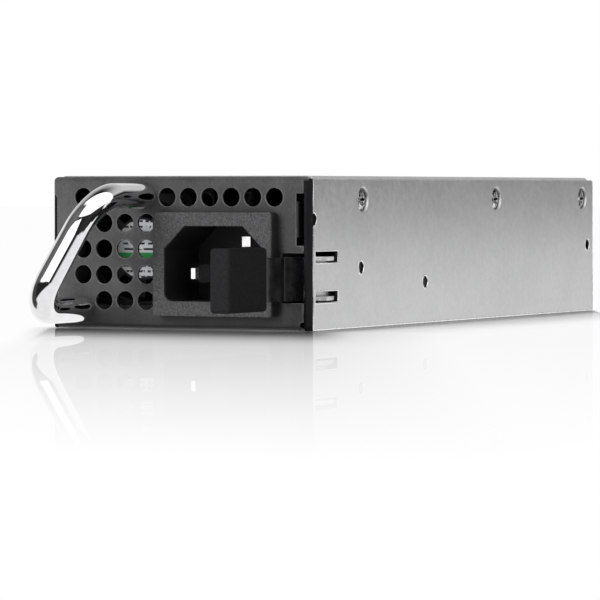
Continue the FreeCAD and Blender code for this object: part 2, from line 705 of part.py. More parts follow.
def front_panel():
    """Perforated face with its edges folded back, side tabs, and the latch and inlet openings."""
    sheet = FRONT_SHEET
    low = PANEL_LIFT
    high = CASE_HEIGHT - PANEL_DROP
    fold = sheet + INNER_BEND
    back = behind(PANEL_RETURN)
    outside = [(FRONT, low, fold), (back, low), (back, high), (FRONT, high, fold)]
    wide = HALF - BAND_SHEET - PANEL_SIDE_GAP
    panel = prism("x", -HALF, HALF, outside)
    inside = [(behind(sheet), low + sheet, INNER_BEND), (back, low + sheet)]
    inside += [(back, high - sheet), (behind(sheet), high - sheet, INNER_BEND)]
    panel = panel.cut(prism("x", -HALF, HALF, inside))
    past_band = (behind(BAND_DEPTH - SEAM), back)
    trims = [block((-HALF, HALF), past_band, (high - sheet, high))]
    trims += both_sides(block((from_right(RETURN_INSET), HALF), (behind(fold), back), (low, high)))
    trims.append(block((wide, HALF), (FRONT, back), (low, high - sheet)))
    ear = left_ear((FRONT, behind(fold)), high, 0)
    trims.append(block((-HALF, -wide), (FRONT, back), (low, high)).cut(ear))
    trims += both_sides(upper_corner(high))
    trims += [side_window(), socket_window()]
    relief_low = TAB_LOW - TAB_RELIEF
    relief_high = TAB_LOW + TAB_HEIGHT + TAB_RELIEF
    trims.append(block((from_right(TAB_INSET + TAB_OVERCUT), HALF), (FRONT, behind(sheet)), (relief_low, relief_high)))
    trims.append(block((from_right(NOTCH_WIDTH), HALF), (FRONT, back), (low, NOTCH_HEIGHT)))
    panel = panel.cut(trims + vent_holes())
    panel = join([panel, side_tab(), left_return(wide)])
    cuts = [side_rod(0, TAB_INSET + sheet, TAB_RIVET_RADIUS, tab_rivet_place())]
    cuts += [rod("z", low, low + sheet, place, TAB_RIVET_RADIUS) for place in foot_rivet_places()]
    cuts += [rod("y", FRONT, behind(sheet), place, HANDLE_SCREW_RADIUS) for place in handle_feet()]
    return panel.cut(cuts)


def upper_corner(high):
    """What the rounding takes off the face's upper right corner."""
    depth = (FRONT, behind(FRONT_SHEET + INNER_BEND))
    corner = block((from_right(PANEL_ROUND), HALF), depth, (high - PANEL_ROUND, high))
    return corner.cut(rod("y", depth[0], depth[1], (from_right(PANEL_ROUND), high - PANEL_ROUND), PANEL_ROUND))


def side_tab():
    """Tab bent back from the panel's right edge."""
    outer = from_right(TAB_INSET)
    inner = from_right(TAB_INSET + FRONT_SHEET)
    fold = FRONT_SHEET - 0.05
    plan = [(inner, FRONT), (outer, FRONT, fold), (outer, behind(PANEL_RETURN)), (inner, behind(PANEL_RETURN))]
    return prism("z", TAB_LOW, TAB_LOW + TAB_HEIGHT, plan)


def left_return(wide):
    """The face's left edge, folded back a little way below the corner that runs out to the side."""
    sheet = FRONT_SHEET
    back = behind(LEFT_RETURN)
    plan = [(-wide, back), (-wide, FRONT, sheet - 0.05), (-wide + sheet, FRONT), (-wide + sheet, back)]
    top = CASE_HEIGHT - EAR_DROP - EAR_SLOPE
    return prism("z", PANEL_LIFT + sheet + INNER_BEND, top, plan)


def side_window():
    """Opening at the panel's right edge that the latch comes out of."""
    low = LATCH_LOW - LATCH_WINDOW_BELOW
    high = LATCH_LOW + LATCH_HEIGHT + LATCH_WINDOW_ABOVE
    left = from_right(LATCH_WINDOW_SIDE)
    corners = [(left, low, 0.5), (HALF, low), (HALF, high), (left, high, 0.5)]
    return prism("y", FRONT, behind(FRONT_SHEET), corners)


def socket_window():
    return prism("y", FRONT, behind(FRONT_SHEET), socket_corners(SOCKET_WALL + INLET_FIT))


def vent_holes():
    """Grid of round holes, left out where the inlet or a handle leg is in the way."""
    columns = int((CASE_WIDTH - VENT_SIDE - VENT_MARGIN) // VENT_PITCH_X) + 1
    rows = int((CASE_HEIGHT - VENT_TOP - VENT_MARGIN) // VENT_PITCH_Z) + 1
    holes = []
    for row in range(rows):
        for column in range(columns):
            x = from_right(VENT_SIDE + column * VENT_PITCH_X)
            z = CASE_HEIGHT - VENT_TOP - row * VENT_PITCH_Z
            if vent_is_clear(x, z):
                holes.append(rod("y", FRONT, behind(FRONT_SHEET), (x, z), VENT_RADIUS))
    return holes


def vent_is_clear(x, z):
    reach = VENT_RADIUS + VENT_LAND
    for foot_x, foot_z in handle_feet():
        if math.hypot(x - foot_x, z - foot_z) < reach + HANDLE_RADIUS:
            return False
    left = from_right(INLET_SIDE + INLET_WIDTH)
    return x < left - VENT_LAND or z > INLET_LOW + INLET_HEIGHT + reach


def handle():
    """Bent rod between two points of the panel, set on a slant."""
    upper, lower = [spot("y", FRONT, foot) for foot in handle_feet()]
    out = FreeCAD.Vector(0, -1, 0)
    along = lower - upper
    along.normalize()
    bend = HANDLE_BEND
    leg = HANDLE_REACH - bend
    corner = bend * (1 - math.sqrt(0.5))
    first = [upper, upper + out * leg]
    turn = upper + out * (leg + bend - corner) + along * corner
    second = [upper + out * HANDLE_REACH + along * bend, lower + out * HANDLE_REACH - along * bend]
    back_turn = lower + out * (leg + bend - corner) - along * corner
    third = [lower + out * leg, lower]
    edges = [
        Part.makeLine(*first),
        Part.Arc(first[1], turn, second[0]).toShape(),
        Part.makeLine(*second),
        Part.Arc(second[1], back_turn, third[0]).toShape(),
        Part.makeLine(*third),
    ]
    section = Part.Wire(Part.makeCircle(HANDLE_RADIUS, upper, out))
    bar = Part.Wire(edges).makePipeShell([section], True, False)
    holes = []
    for foot in handle_feet():
        holes.append(rod("y", FRONT - HANDLE_SCREW_DEPTH, FRONT, foot, HANDLE_SCREW_RADIUS))
    return bar.cut(holes)


def handle_screws():
    """Screws from behind the panel into the handle's legs."""
    screws = []
    inner = behind(FRONT_SHEET)
    for foot in handle_feet():
        head = rod("y", inner, inner + HANDLE_HEAD_HEIGHT, foot, HANDLE_HEAD_RADIUS)
        shank = rod("y", FRONT - HANDLE_SCREW_DEPTH + 1, inner, foot, HANDLE_SCREW_RADIUS)
        screws.append(join([head, shank]))
    return screws


def tab_rivet():
    """Rivet that holds the panel's tab to the frame's lip."""
    place = tab_rivet_place()
    inner = TAB_INSET + FRONT_SHEET
    head = side_rod(LIP_INSET - RIVET_HEAD_HEIGHT, LIP_INSET, TAB_RIVET_HEAD, place)
    shank = side_rod(LIP_INSET, inner, TAB_RIVET_RADIUS, place)
    tail = side_rod(inner, inner + RIVET_HEAD_HEIGHT, TAB_RIVET_HEAD, place)
    return join([head, shank, tail])


def foot_rivets():
    """Rivets flush with the panel's lower return, with domed heads inside."""
    top = lip_levels()[1] + SEAM + FRONT_SHEET
    radius = TAB_RIVET_RADIUS
    rivets = []
    for place in foot_rivet_places():
        profile = [(0, PANEL_LIFT), (radius, PANEL_LIFT), (radius, top), (RIVET_HEAD_IN, top)]
        profile += [(RIVET_HEAD_IN * 0.7, top + RIVET_HEAD_HEIGHT), (0, top + RIVET_HEAD_HEIGHT)]
        rivets.append(turned("z", place, profile))
    return rivets


# ---- Power inlet --------------------------------------------------------------------------
def inlet_body():
    """Moulded inlet: flange in front of the panel, socket behind it, and snap wedges."""
    right = from_right(INLET_SIDE)
    left = from_right(INLET_SIDE + INLET_WIDTH)
    face = FRONT - INLET_FLANGE
    height = (INLET_LOW, INLET_LOW + INLET_HEIGHT)
    flange = prism("y", face, FRONT, rectangle((left, right), height, INLET_ROUND))
    floor = face + SOCKET_DEPTH
    shell = prism("y", FRONT, floor + SOCKET_BACK, socket_corners(SOCKET_WALL))
    socket = prism("y", face, floor, socket_corners(0))
    body = join([flange, shell, snap_wedge(1), snap_wedge(-1)]).cut(socket)
    slots = []
    for x, z in blade_centres().values():
        half = BLADE_WIDTH / 2
        tall = BLADE_HEIGHT / 2
        slots.append(block((x - half, x + half), (floor, floor + SOCKET_BACK), (z - tall, z + tall)))
    return body.cut(slots)


def snap_wedge(side):
    """Wedge that snaps in behind the panel's sheet."""
    middle = from_right(SOCKET_SIDE + SOCKET_WIDTH / 2)
    wall = middle + side * (SOCKET_WIDTH / 2 + SOCKET_WALL)
    front = behind(FRONT_SHEET + SEAM)
    plan = [(wall, front), (wall + side * SNAP_RISE, front), (wall, front + SNAP_LENGTH)]
    centre = SOCKET_LOW + (SOCKET_HEIGHT - SOCKET_CHAMFER) / 2
    return prism("z", centre - SNAP_HEIGHT / 2, centre + SNAP_HEIGHT / 2, plan)


def inlet_blade(name):
    """Contact blade with a bevelled tip and a tail that turns down through the board."""
    x, z = blade_centres()[name]
    face = FRONT - INLET_FLANGE
    tip = face + BLADE_SETBACK
    back = face + SOCKET_DEPTH + SOCKET_BACK
    low = z - BLADE_HEIGHT / 2
    high = z + BLADE_HEIGHT / 2
    end = back + TAIL_BACK
    foot = BOARD_HEIGHT - TAIL_BELOW
    taper = tip + BLADE_TIP_UPRIGHT * 2
    side = [(tip, low + BLADE_TIP_UPRIGHT), (taper, low), (back, low), (end - TAIL_HEIGHT, low)]
    side += [(end - TAIL_HEIGHT, foot), (end, foot), (end, high), (taper, high), (tip, high - BLADE_TIP_UPRIGHT)]
    half = BLADE_WIDTH / 2
    blade = prism("x", x - half, x + half, side)
    plan = [(x - half + BLADE_TIP, tip), (x + half - BLADE_TIP, tip), (x + half, tip + BLADE_TIP * 2)]
    plan += [(x + half, end), (x - half, end), (x - half, tip + BLADE_TIP * 2)]
    blade = blade.common(prism("z", foot, high, plan))
    if name != "earth_pin":
        return blade
    floor = face + SOCKET_DEPTH
    shoulder = block((x - half, x + half), (floor - EARTH_SHOULDER_LENGTH, floor), (high, high + EARTH_SHOULDER))
    return join([blade, shoulder])


# ---- Latch --------------------------------------------------------------------------------
def latch_spring():
    """Spring strip with two hooks; it jogs out through the panel and forward beside the inlet."""
    outer, inner = strip_faces()
    shift = LATCH_REACH - outer
    end = behind(KNOB_BACK) - KNOB_GRIP
    pivot = behind(LATCH_PIVOT)
    jog = [behind(LATCH_JOG_BACK), behind(LATCH_JOG_FRONT)]
    slope = math.hypot(shift, jog[0] - jog[1])
    mitre = LATCH_SHEET * (slope - (jog[0] - jog[1])) / shift
    wide = LATCH_BEND + LATCH_SHEET
    plan = [(from_right(outer), pivot), (from_right(outer), jog[0], LATCH_BEND)]
    plan += [(from_right(LATCH_REACH), jog[1], wide), (from_right(LATCH_REACH), end)]
    inside = LATCH_REACH + LATCH_SHEET
    plan += [(from_right(inside), end), (from_right(inside), jog[1] + mitre, LATCH_BEND)]
    plan += [(from_right(inner), jog[0] + mitre, wide), (from_right(inner), pivot)]
    top = LATCH_LOW + LATCH_HEIGHT
    strip = prism("z", LATCH_LOW, top, plan)
    middle = from_right((outer + inner) / 2)
    knuckle = rod("z", LATCH_LOW, top, (middle, pivot), LATCH_SHEET / 2)
    front = behind(HOOK_FRONT)
    heel = front + HOOK_LENGTH
    hook = [(from_right(outer), front), (from_right(outer), heel), (from_right(HOOK_HEEL), heel, HOOK_ROUND)]
    hook.append((HALF + HOOK_PROUD, front + HOOK_TIP, HOOK_ROUND))
    lows = (LATCH_LOW, top - LATCH_SHEET)
    hooks = [prism("z", low, low + LATCH_SHEET, hook) for low in lows]
    return join([strip, knuckle] + hooks)


def latch_knob():
    """Thumb tab moulded over the strip's end."""
    front = behind(KNOB_BACK) - KNOB_LENGTH
    right = from_right(LATCH_REACH - KNOB_COVER)
    height = (LATCH_LOW - KNOB_BELOW, LATCH_LOW + LATCH_HEIGHT + KNOB_ABOVE)
    knob = block((right - KNOB_THICKNESS, right), (front, front + KNOB_LENGTH), height)
    knob = knob.makeFillet(KNOB_ROUND, knob.Edges)
    return knob.cut(latch_spring())


def latch_anchor():
    """Riveted root of the strip, with a rounded seat at its front edge."""
    outer, inner = strip_faces()
    pivot = behind(LATCH_PIVOT)
    height = (LATCH_LOW, LATCH_LOW + LATCH_HEIGHT)
    plate = block((from_right(inner), from_right(outer)), (pivot, pivot + LATCH_ANCHOR_LENGTH), height)
    middle = from_right((outer + inner) / 2)
    seat = rod("z", height[0], height[1], (middle, pivot), LATCH_SHEET / 2 + PIVOT_FIT)
    return plate.cut([seat, side_rod(outer, inner, RIVET_RADIUS, latch_rivet_place())])


def latch_rivet():
    """Rivet through the tray's ear and the anchor; its head shows in the cover's hole."""
    outer, inner = strip_faces()
    place = latch_rivet_place()
    head = side_rod(TRAY_SIDE - RIVET_HEAD_HEIGHT, TRAY_SIDE, RIVET_HEAD_OUT, place)
    shank = side_rod(TRAY_SIDE, inner, RIVET_RADIUS, place)
    tail = side_rod(inner, inner + RIVET_HEAD_HEIGHT, RIVET_HEAD_IN, place)
    return join([head, shank, tail])


# ---- Fan ----------------------------------------------------------------------------------
def fan_frame():
    """Square frame with a round duct, a hub plate on struts at the front, and the bearing tube."""
    centre = fan_centre()
    half = fan_size() / 2
    front = behind(FAN_FRONT)
    back = front + FAN_DEPTH
    x = (centre[0] - half, centre[0] + half)
    z = (centre[1] - half, centre[1] + half)
    frame = prism("y", front, back, rectangle(x, z, FAN_CORNER))
    frame = frame.cut(rod("y", front, back, centre, half - FAN_WALL))
    plate = rod("y", front, front + FAN_HUB_PLATE, centre, FAN_HUB)
    parts = [frame, plate, rod("y", front, front + FAN_HUB_PLATE + FAN_TUBE_LENGTH, centre, FAN_TUBE)]
    for index in range(FAN_STRUTS):
        strut = block((0, half), (front, front + FAN_HUB_PLATE), (-FAN_STRUT / 2, FAN_STRUT / 2))
        strut.rotate(FreeCAD.Vector(0, 0, 0), FreeCAD.Vector(0, 1, 0), 45 + 360 / FAN_STRUTS * index)
        strut.translate(FreeCAD.Vector(centre[0], 0, centre[1]))
        parts.append(strut)
    frame = join(parts)
    holes = [rod("y", front, back, place, FAN_SCREW_RADIUS) for place in fan_screw_places()]
    holes.append(rod("y", front + FAN_HUB_PLATE, back, centre, BEARING_RADIUS))
    return frame.cut(holes + fan_screws())


def fan_label():
    start = behind(FAN_FRONT) - FAN_LABEL_SHEET
    return rod("y", start, start + FAN_LABEL_SHEET, fan_centre(), FAN_LABEL_RADIUS)


def fan_bearing():
    start = behind(FAN_FRONT) + FAN_HUB_PLATE
    return tube("y", start, start + FAN_TUBE_LENGTH, fan_centre(), BEARING_RADIUS, SHAFT_RADIUS + SHAFT_FIT)


def fan_stator():
    """Wound stator on the bearing tube."""
    start = behind(FAN_FRONT) + FAN_HUB_PLATE + ROTOR_GAP
    centre = fan_centre()
    stator = tube("y", start, start + STATOR_HEIGHT, centre, STATOR_RADIUS, FAN_TUBE)
    slots = []
    for index in range(FAN_STRUTS):
        x = (FAN_TUBE * 1.5, STATOR_RADIUS)
        slot = block(x, (start, start + STATOR_HEIGHT), (-STATOR_SLOT / 2, STATOR_SLOT / 2))
        slot.rotate(FreeCAD.Vector(0, 0, 0), FreeCAD.Vector(0, 1, 0), 360 / FAN_STRUTS * index)
        slot.translate(FreeCAD.Vector(centre[0], 0, centre[1]))
        slots.append(slot)
    return stator.cut(slots)


def rotor_span():
    """Front and back of the rotor."""
    back = behind(FAN_FRONT) + FAN_DEPTH - ROTOR_GAP
    return behind(FAN_FRONT) + FAN_HUB_PLATE + ROTOR_GAP, back


def fan_rotor():
    """Cup with twisted blades; the stator sits inside it."""
    centre = fan_centre()
    front, back = rotor_span()
    cup = rod("y", front, back, centre, FAN_HUB)
    cup = cup.cut(rod("y", front, back - ROTOR_BACK, centre, FAN_HUB - ROTOR_SKIRT))
    boss_start = behind(FAN_FRONT) + FAN_HUB_PLATE + FAN_TUBE_LENGTH + ROTOR_GAP
    boss = rod("y", boss_start, back, centre, ROTOR_BOSS)
    blades = [fan_blade(360 / BLADE_COUNT * index) for index in range(BLADE_COUNT)]
    rotor = join([cup, boss] + blades)
    return rotor.cut(rod("y", boss_start, back - ROTOR_BACK / 2, centre, SHAFT_RADIUS))


def fan_blade(angle):
    """One blade, lofted from the hub to the tip and turned to its place."""
    centre = fan_centre()
    front, back = rotor_span()
    middle = (front + back) / 2
    depth = back - front - 2 * ROTOR_GAP
    tip = fan_size() / 2 - FAN_WALL - ROTOR_TIP_GAP
    sections = []
    for radius, pitch in ((FAN_HUB - ROTOR_SKIRT / 2, BLADE_PITCH_ROOT), (tip, BLADE_PITCH_TIP)):
        lean = math.tan(math.radians(pitch)) * depth / 2
        thick = BLADE_THICKNESS / 2 / math.cos(math.radians(pitch))
        pairs = [(-lean - thick, -depth / 2), (-lean + thick, -depth / 2), (lean + thick, depth / 2)]
        pairs.append((lean - thick, depth / 2))
        points = [FreeCAD.Vector(across, middle + along, radius) for across, along in pairs]
        sections.append(Part.makePolygon(points + points[:1]))
    blade = Part.makeLoft(sections, True, True)
    blade.rotate(FreeCAD.Vector(0, 0, 0), FreeCAD.Vector(0, 1, 0), angle)
    blade.translate(FreeCAD.Vector(centre[0], 0, centre[1]))
    limit = rod("y", front, back, centre, tip)
    return blade.common(limit)


def fan_shaft():
    front = behind(FAN_FRONT) + FAN_HUB_PLATE + SHAFT_FIT
    _, back = rotor_span()
    return rod("y", front, back - ROTOR_BACK / 2, fan_centre(), SHAFT_RADIUS)


def fan_bracket():
    """Upright plate behind the fan with a foot on the tray."""
    centre = fan_centre()
    half = fan_size() / 2
    front = behind(FAN_FRONT) + FAN_DEPTH
    back = front + BRACKET_SHEET
    x = (centre[0] - half + BRACKET_INSET, centre[0] + half - BRACKET_INSET)
    plate = block(x, (front, back), (TRAY_SHEET, centre[1] + half))
    foot = block(x, (front, back + BRACKET_FOOT), (TRAY_SHEET, TRAY_SHEET + BRACKET_SHEET))
    corner = math.sqrt(2) * (half - FAN_SCREW_INSET)
    opening = min(half - FAN_WALL, corner - FAN_SCREW_HEAD - BRACKET_WEB)
    return join([plate, foot]).cut([rod("y", front, back, centre, opening)] + fan_screws())


def fan_screws():
    """Countersunk screws through the bracket into the frame's corners."""
    end = behind(FAN_FRONT) + FAN_DEPTH + BRACKET_SHEET
    neck = end - (FAN_SCREW_HEAD - FAN_SCREW_RADIUS)
    screws = []
    for place in fan_screw_places():
        shank = rod("y", end - FAN_SCREW_LENGTH, neck, place, FAN_SCREW_RADIUS)
        head = cone("y", neck, end, place, FAN_SCREW_RADIUS, FAN_SCREW_HEAD)
        screws.append(join([shank, head]))
    return screws


# ---- Circuit board and what stands on it --------------------------------------------------
CHOKE_OUTER = 10.0
CHOKE_INNER = 5.0
CHOKE_HEIGHT = 9.0
CHOKE_SIDE = 22.0            # centre, in from the right side
CHOKE_FRONT = 48.0           # centre, behind the front face
WIRE_THICKNESS = 1.2
WINDING_SWEEP = 120.0
FUSE_SIDE = 9.0
FUSE_FRONT = 60.0
FUSE_LENGTH = 9.0
FUSE_WIDTH = 4.5
FUSE_HEIGHT = 8.0
FILM_SIDE = 15.7             # film capacitor, in from the left side
FILM_FRONT = 44.0
FILM_LENGTH = 18.0
FILM_WIDTH = 9.0
FILM_HEIGHT = 16.0
FILM_ROUND = 1.0
BULK_RADIUS = 9.0
BULK_PITCH = 20.0
BULK_SIDE = 16.0             # first bulk capacitor, in from the left side
BULK_FRONT = 68.0
BULK_COUNT = 2
GROOVE_DEPTH = 0.5
GROOVE_RISE = 2.5
SINK_FRONT = 83.5            # primary heatsink
SINK_BASE = 2.0
SINK_WIDTH = 40.0
SINK_FIN = 1.2
SINK_FIN_LENGTH = 4.0
SINK_FIN_COUNT = 8
PACKAGE_WIDTH = 10.0
PACKAGE_HEIGHT = 9.0
PACKAGE_DEPTH = 4.5
PACKAGE_TAB = 1.3
PACKAGE_TAB_HEIGHT = 6.0
LEG_PITCH = 2.54
LEG_WIDTH = 0.8
LEG_LENGTH = 3.0
CORE_LENGTH = 28.0
CORE_WIDTH = 16.0
CORE_HEIGHT = 22.0
CORE_LIMB = 5.0
COIL_BULGE = 3.0             # winding past the core, front and rear
COIL_FLANGE = 1.0
COIL_GAP = 0.4
DAUGHTER_SIDE = 8.0
DAUGHTER_LENGTH = 22.0
DAUGHTER_HEIGHT = 18.0
DAUGHTER_SHEET = 1.2
OUTPUT_SINK_REAR = 38.0
OUTPUT_CHOKE_RADIUS = 6.5
OUTPUT_CHOKE_BORE = 3.0
OUTPUT_CHOKE_HEIGHT = 7.0
OUTPUT_CHOKE_SIDE = 14.0
OUTPUT_CHOKE_REAR = 25.0
OUTPUT_CAP_RADIUS = 4.0
OUTPUT_CAP_HEIGHT = 14.0
OUTPUT_CAP_PITCH = 9.5
OUTPUT_CAP_SIDE = 12.0
OUTPUT_CAP_REAR = 23.0
OUTPUT_CAP_COUNT = 3


def main_board():
    """Board with a tongue beside the fan that takes the inlet's tails."""
    right = from_right(BOARD_SIDE_GAP)
    left = from_left(BOARD_SIDE_GAP)
    tongue_right = from_right(TONGUE_SIDE)
    tongue_left = fan_centre()[0] + fan_size() / 2 + TONGUE_FAN_GAP
    front = behind(BOARD_FRONT)
    tip = behind(TONGUE_FRONT)
    rear = before_rear(BOARD_REAR_GAP)
    plan = [(left, front), (tongue_left, front), (tongue_left, tip), (tongue_right, tip)]
    plan += [(tongue_right, front), (right, front), (right, rear), (left, rear)]
    board = prism("z", BOARD_HEIGHT, BOARD_TOP, plan)
    holes = [rod("z", BOARD_HEIGHT, BOARD_TOP, place, BOARD_SCREW_RADIUS) for place in standoff_places()]
    end = FRONT - INLET_FLANGE + SOCKET_DEPTH + SOCKET_BACK + TAIL_BACK
    half = BLADE_WIDTH / 2
    for x, _ in blade_centres().values():
        holes.append(block((x - half, x + half), (end - TAIL_HEIGHT, end), (BOARD_HEIGHT, BOARD_TOP)))
    return board.cut(holes)


def insulator_sheet():
    """Thin sheet on the tray's floor under the board, cut round the standoffs."""
    front = behind(FAN_FRONT + FAN_DEPTH + BRACKET_SHEET + BRACKET_FOOT + 1)
    side = TRAY_INSIDE + 1
    sheet = block((from_left(side), from_right(side)), (front, before_rear(BOARD_REAR_GAP)),
                  (TRAY_SHEET, TRAY_SHEET + INSULATOR_SHEET))
    radius = STANDOFF_FLATS * 0.7
    holes = [rod("z", TRAY_SHEET, TRAY_SHEET + INSULATOR_SHEET, place, radius) for place in standoff_places()]
    return sheet.cut(holes)


def board_standoffs():
    """Hexagonal threaded standoffs on the tray."""
    standoffs = []
    corner = STANDOFF_FLATS / math.sqrt(3)
    for x, y in standoff_places():
        turns = [math.radians(60 * index) for index in range(6)]
        corners = [(x + corner * math.cos(turn), y + corner * math.sin(turn)) for turn in turns]
        post = prism("z", TRAY_SHEET, BOARD_HEIGHT, corners)
        standoffs.append(post.cut(rod("z", TRAY_SHEET, BOARD_HEIGHT, (x, y), BOARD_SCREW_RADIUS)))
    return standoffs


def board_screws():
    screws = []
    for place in standoff_places():
        shank = rod("z", TRAY_SHEET + 1, BOARD_TOP, place, BOARD_SCREW_RADIUS)
        head = rod("z", BOARD_TOP, BOARD_TOP + BOARD_SCREW_HEIGHT, place, BOARD_SCREW_HEAD)
        screws.append(join([shank, head]))
    return screws


def fuse():
    """Radial fuse in a rounded case."""
    x = from_right(FUSE_SIDE)
    y = behind(FUSE_FRONT)
    plan = rectangle((x - FUSE_WIDTH / 2, x + FUSE_WIDTH / 2), (y - FUSE_LENGTH / 2, y + FUSE_LENGTH / 2), 1.5)
    return prism("z", BOARD_TOP, BOARD_TOP + FUSE_HEIGHT, plan)


def choke_centre():
    return (from_right(CHOKE_SIDE), behind(CHOKE_FRONT))


def choke_core():
    low = BOARD_TOP + WIRE_THICKNESS
    return tube("z", low, low + CHOKE_HEIGHT, choke_centre(), CHOKE_OUTER, CHOKE_INNER)


def choke_windings():
    """Two windings, each wrapped round a part of the ring core."""
    centre = choke_centre()
    outer = CHOKE_OUTER + WIRE_THICKNESS
    inner = CHOKE_INNER - WIRE_THICKNESS
    high = BOARD_TOP + CHOKE_HEIGHT + 2 * WIRE_THICKNESS
    windings = []
    for start in (-WINDING_SWEEP / 2, 180 - WINDING_SWEEP / 2):
        face = Part.Face(Part.makePolygon([
            FreeCAD.Vector(inner, 0, BOARD_TOP),
            FreeCAD.Vector(outer, 0, BOARD_TOP),
            FreeCAD.Vector(outer, 0, high),
            FreeCAD.Vector(inner, 0, high),
            FreeCAD.Vector(inner, 0, BOARD_TOP),
        ]))
        face.rotate(FreeCAD.Vector(0, 0, 0), FreeCAD.Vector(0, 0, 1), start)
        winding = face.revolve(FreeCAD.Vector(0, 0, 0), FreeCAD.Vector(0, 0, 1), WINDING_SWEEP)
        winding.translate(FreeCAD.Vector(centre[0], centre[1], 0))
        windings.append(winding.cut(choke_core()))
    return windings


def film_capacitor():
    x = from_left(FILM_SIDE)
    y = behind(FILM_FRONT)
    plan = rectangle((x - FILM_WIDTH / 2, x + FILM_WIDTH / 2), (y - FILM_LENGTH / 2, y + FILM_LENGTH / 2), FILM_ROUND)
    return prism("z", BOARD_TOP, BOARD_TOP + FILM_HEIGHT, plan)


def can(place, radius, height):
    """Capacitor can with a rolled groove near its foot."""
    groove = BOARD_TOP + GROOVE_RISE
    top = BOARD_TOP + height
    profile = [(0, BOARD_TOP), (radius, BOARD_TOP), (radius, groove - GROOVE_DEPTH)]
    profile += [(radius - GROOVE_DEPTH, groove), (radius, groove + GROOVE_DEPTH)]
    profile += [(radius, top - GROOVE_DEPTH), (radius - GROOVE_DEPTH, top), (0, top)]
    return turned("z", place, profile)


def bulk_capacitors():
    places = [(from_left(BULK_SIDE + index * BULK_PITCH), behind(BULK_FRONT)) for index in range(BULK_COUNT)]
    return [can(place, BULK_RADIUS, PART_TOP - BOARD_TOP) for place in places]


def output_capacitors():
    places = []
    for index in range(OUTPUT_CAP_COUNT):
        places.append((from_right(OUTPUT_CAP_SIDE + index * OUTPUT_CAP_PITCH), before_rear(OUTPUT_CAP_REAR)))
    return [can(place, OUTPUT_CAP_RADIUS, OUTPUT_CAP_HEIGHT) for place in places]


def heatsink(face, toward):
    """Extruded comb: a flat back at this y with fins on the side it points to."""
    edge = face + toward * SINK_BASE
    tip = edge + toward * SINK_FIN_LENGTH
    half = SINK_WIDTH / 2
    base = block((-half, half), (face, edge), (BOARD_TOP, PART_TOP))
    pitch = (SINK_WIDTH - SINK_FIN) / (SINK_FIN_COUNT - 1)
    fins = []
    for index in range(SINK_FIN_COUNT):
        left = -half + index * pitch
        fins.append(block((left, left + SINK_FIN), (edge, tip), (BOARD_TOP, PART_TOP)))
    return join([base] + fins)


def power_packages(face, toward, count):
    """Plastic packages with metal tabs flat against a heatsink's face, standing on three legs."""
    pitch = SINK_WIDTH / count
    low = BOARD_TOP + LEG_LENGTH
    high = low + PACKAGE_HEIGHT
    packages = []
    for index in range(count):
        x = (index - (count - 1) / 2) * pitch
        half = PACKAGE_WIDTH / 2
        body = block((x - half, x + half), (face, face + toward * PACKAGE_DEPTH), (low, high))
        tab = block((x - half, x + half), (face, face + toward * PACKAGE_TAB), (high, high + PACKAGE_TAB_HEIGHT))
        hole = rod("y", face - PACKAGE_TAB, face + PACKAGE_TAB, (x, high + PACKAGE_TAB_HEIGHT / 2), LEG_PITCH / 2)
        shapes = [body, tab]
        for leg in (-1, 0, 1):
            centre = x + leg * LEG_PITCH
            width = (centre - LEG_WIDTH / 2, centre + LEG_WIDTH / 2)
            depth = (face + toward * PACKAGE_TAB, face + toward * (PACKAGE_TAB + LEG_WIDTH))
            shapes.append(block(width, depth, (BOARD_TOP, low)))
        packages.append(join(shapes).cut(hole))
    return packages


def transformer_place():
    """Middle of the space between the power transistors and the output heatsink."""
    front = behind(SINK_FRONT) + PACKAGE_DEPTH
    back = before_rear(OUTPUT_SINK_REAR) - SINK_BASE - SINK_FIN_LENGTH
    return (front + back) / 2


def transformer_core():
    """Two-window ferrite core, standing with its windows facing front and rear."""
    middle_y = transformer_place()
    y = (middle_y - CORE_WIDTH / 2, middle_y + CORE_WIDTH / 2)
    half = CORE_LENGTH / 2
    low = BOARD_TOP + COIL_FLANGE
    core = block((-half, half), y, (low, low + CORE_HEIGHT))
    window = (half - CORE_LIMB * 1.5) / 2
    opening = []
    for side in (-1, 1):
        middle = side * (CORE_LIMB / 2 + window)
        x = (middle - window + CORE_LIMB / 4, middle + window)
        if side < 0:
            x = (middle - window, middle + window - CORE_LIMB / 4)
        opening.append(block(x, y, (low + CORE_LIMB, low + CORE_HEIGHT - CORE_LIMB)))
    return core.cut(opening)


def transformer_coil():
    """Taped winding that fills the core's windows and bulges out of them front and rear."""
    half = CORE_LENGTH / 2
    low = BOARD_TOP + COIL_FLANGE + CORE_LIMB + COIL_GAP
    high = BOARD_TOP + COIL_FLANGE + CORE_HEIGHT - CORE_LIMB - COIL_GAP
    outer = half - CORE_LIMB * 1.0 - COIL_GAP * 2
    reach = CORE_WIDTH / 2 + COIL_BULGE
    y = (transformer_place() - reach, transformer_place() + reach)
    coil = prism("z", low, high, rectangle((-outer, outer), y, COIL_BULGE))
    return coil.cut(transformer_core())


def control_board():
    """Small upright board beside the transformer."""
    x = from_left(DAUGHTER_SIDE)
    y = (transformer_place() - DAUGHTER_LENGTH / 2, transformer_place() + DAUGHTER_LENGTH / 2)
    return block((x, x + DAUGHTER_SHEET), y, (BOARD_TOP, BOARD_TOP + DAUGHTER_HEIGHT))


def output_choke():
    """Ring core with its winding, lying on the board near the output."""
    centre = (from_left(OUTPUT_CHOKE_SIDE), before_rear(OUTPUT_CHOKE_REAR))
    return tube("z", BOARD_TOP, BOARD_TOP + OUTPUT_CHOKE_HEIGHT, centre, OUTPUT_CHOKE_RADIUS, OUTPUT_CHOKE_BORE)


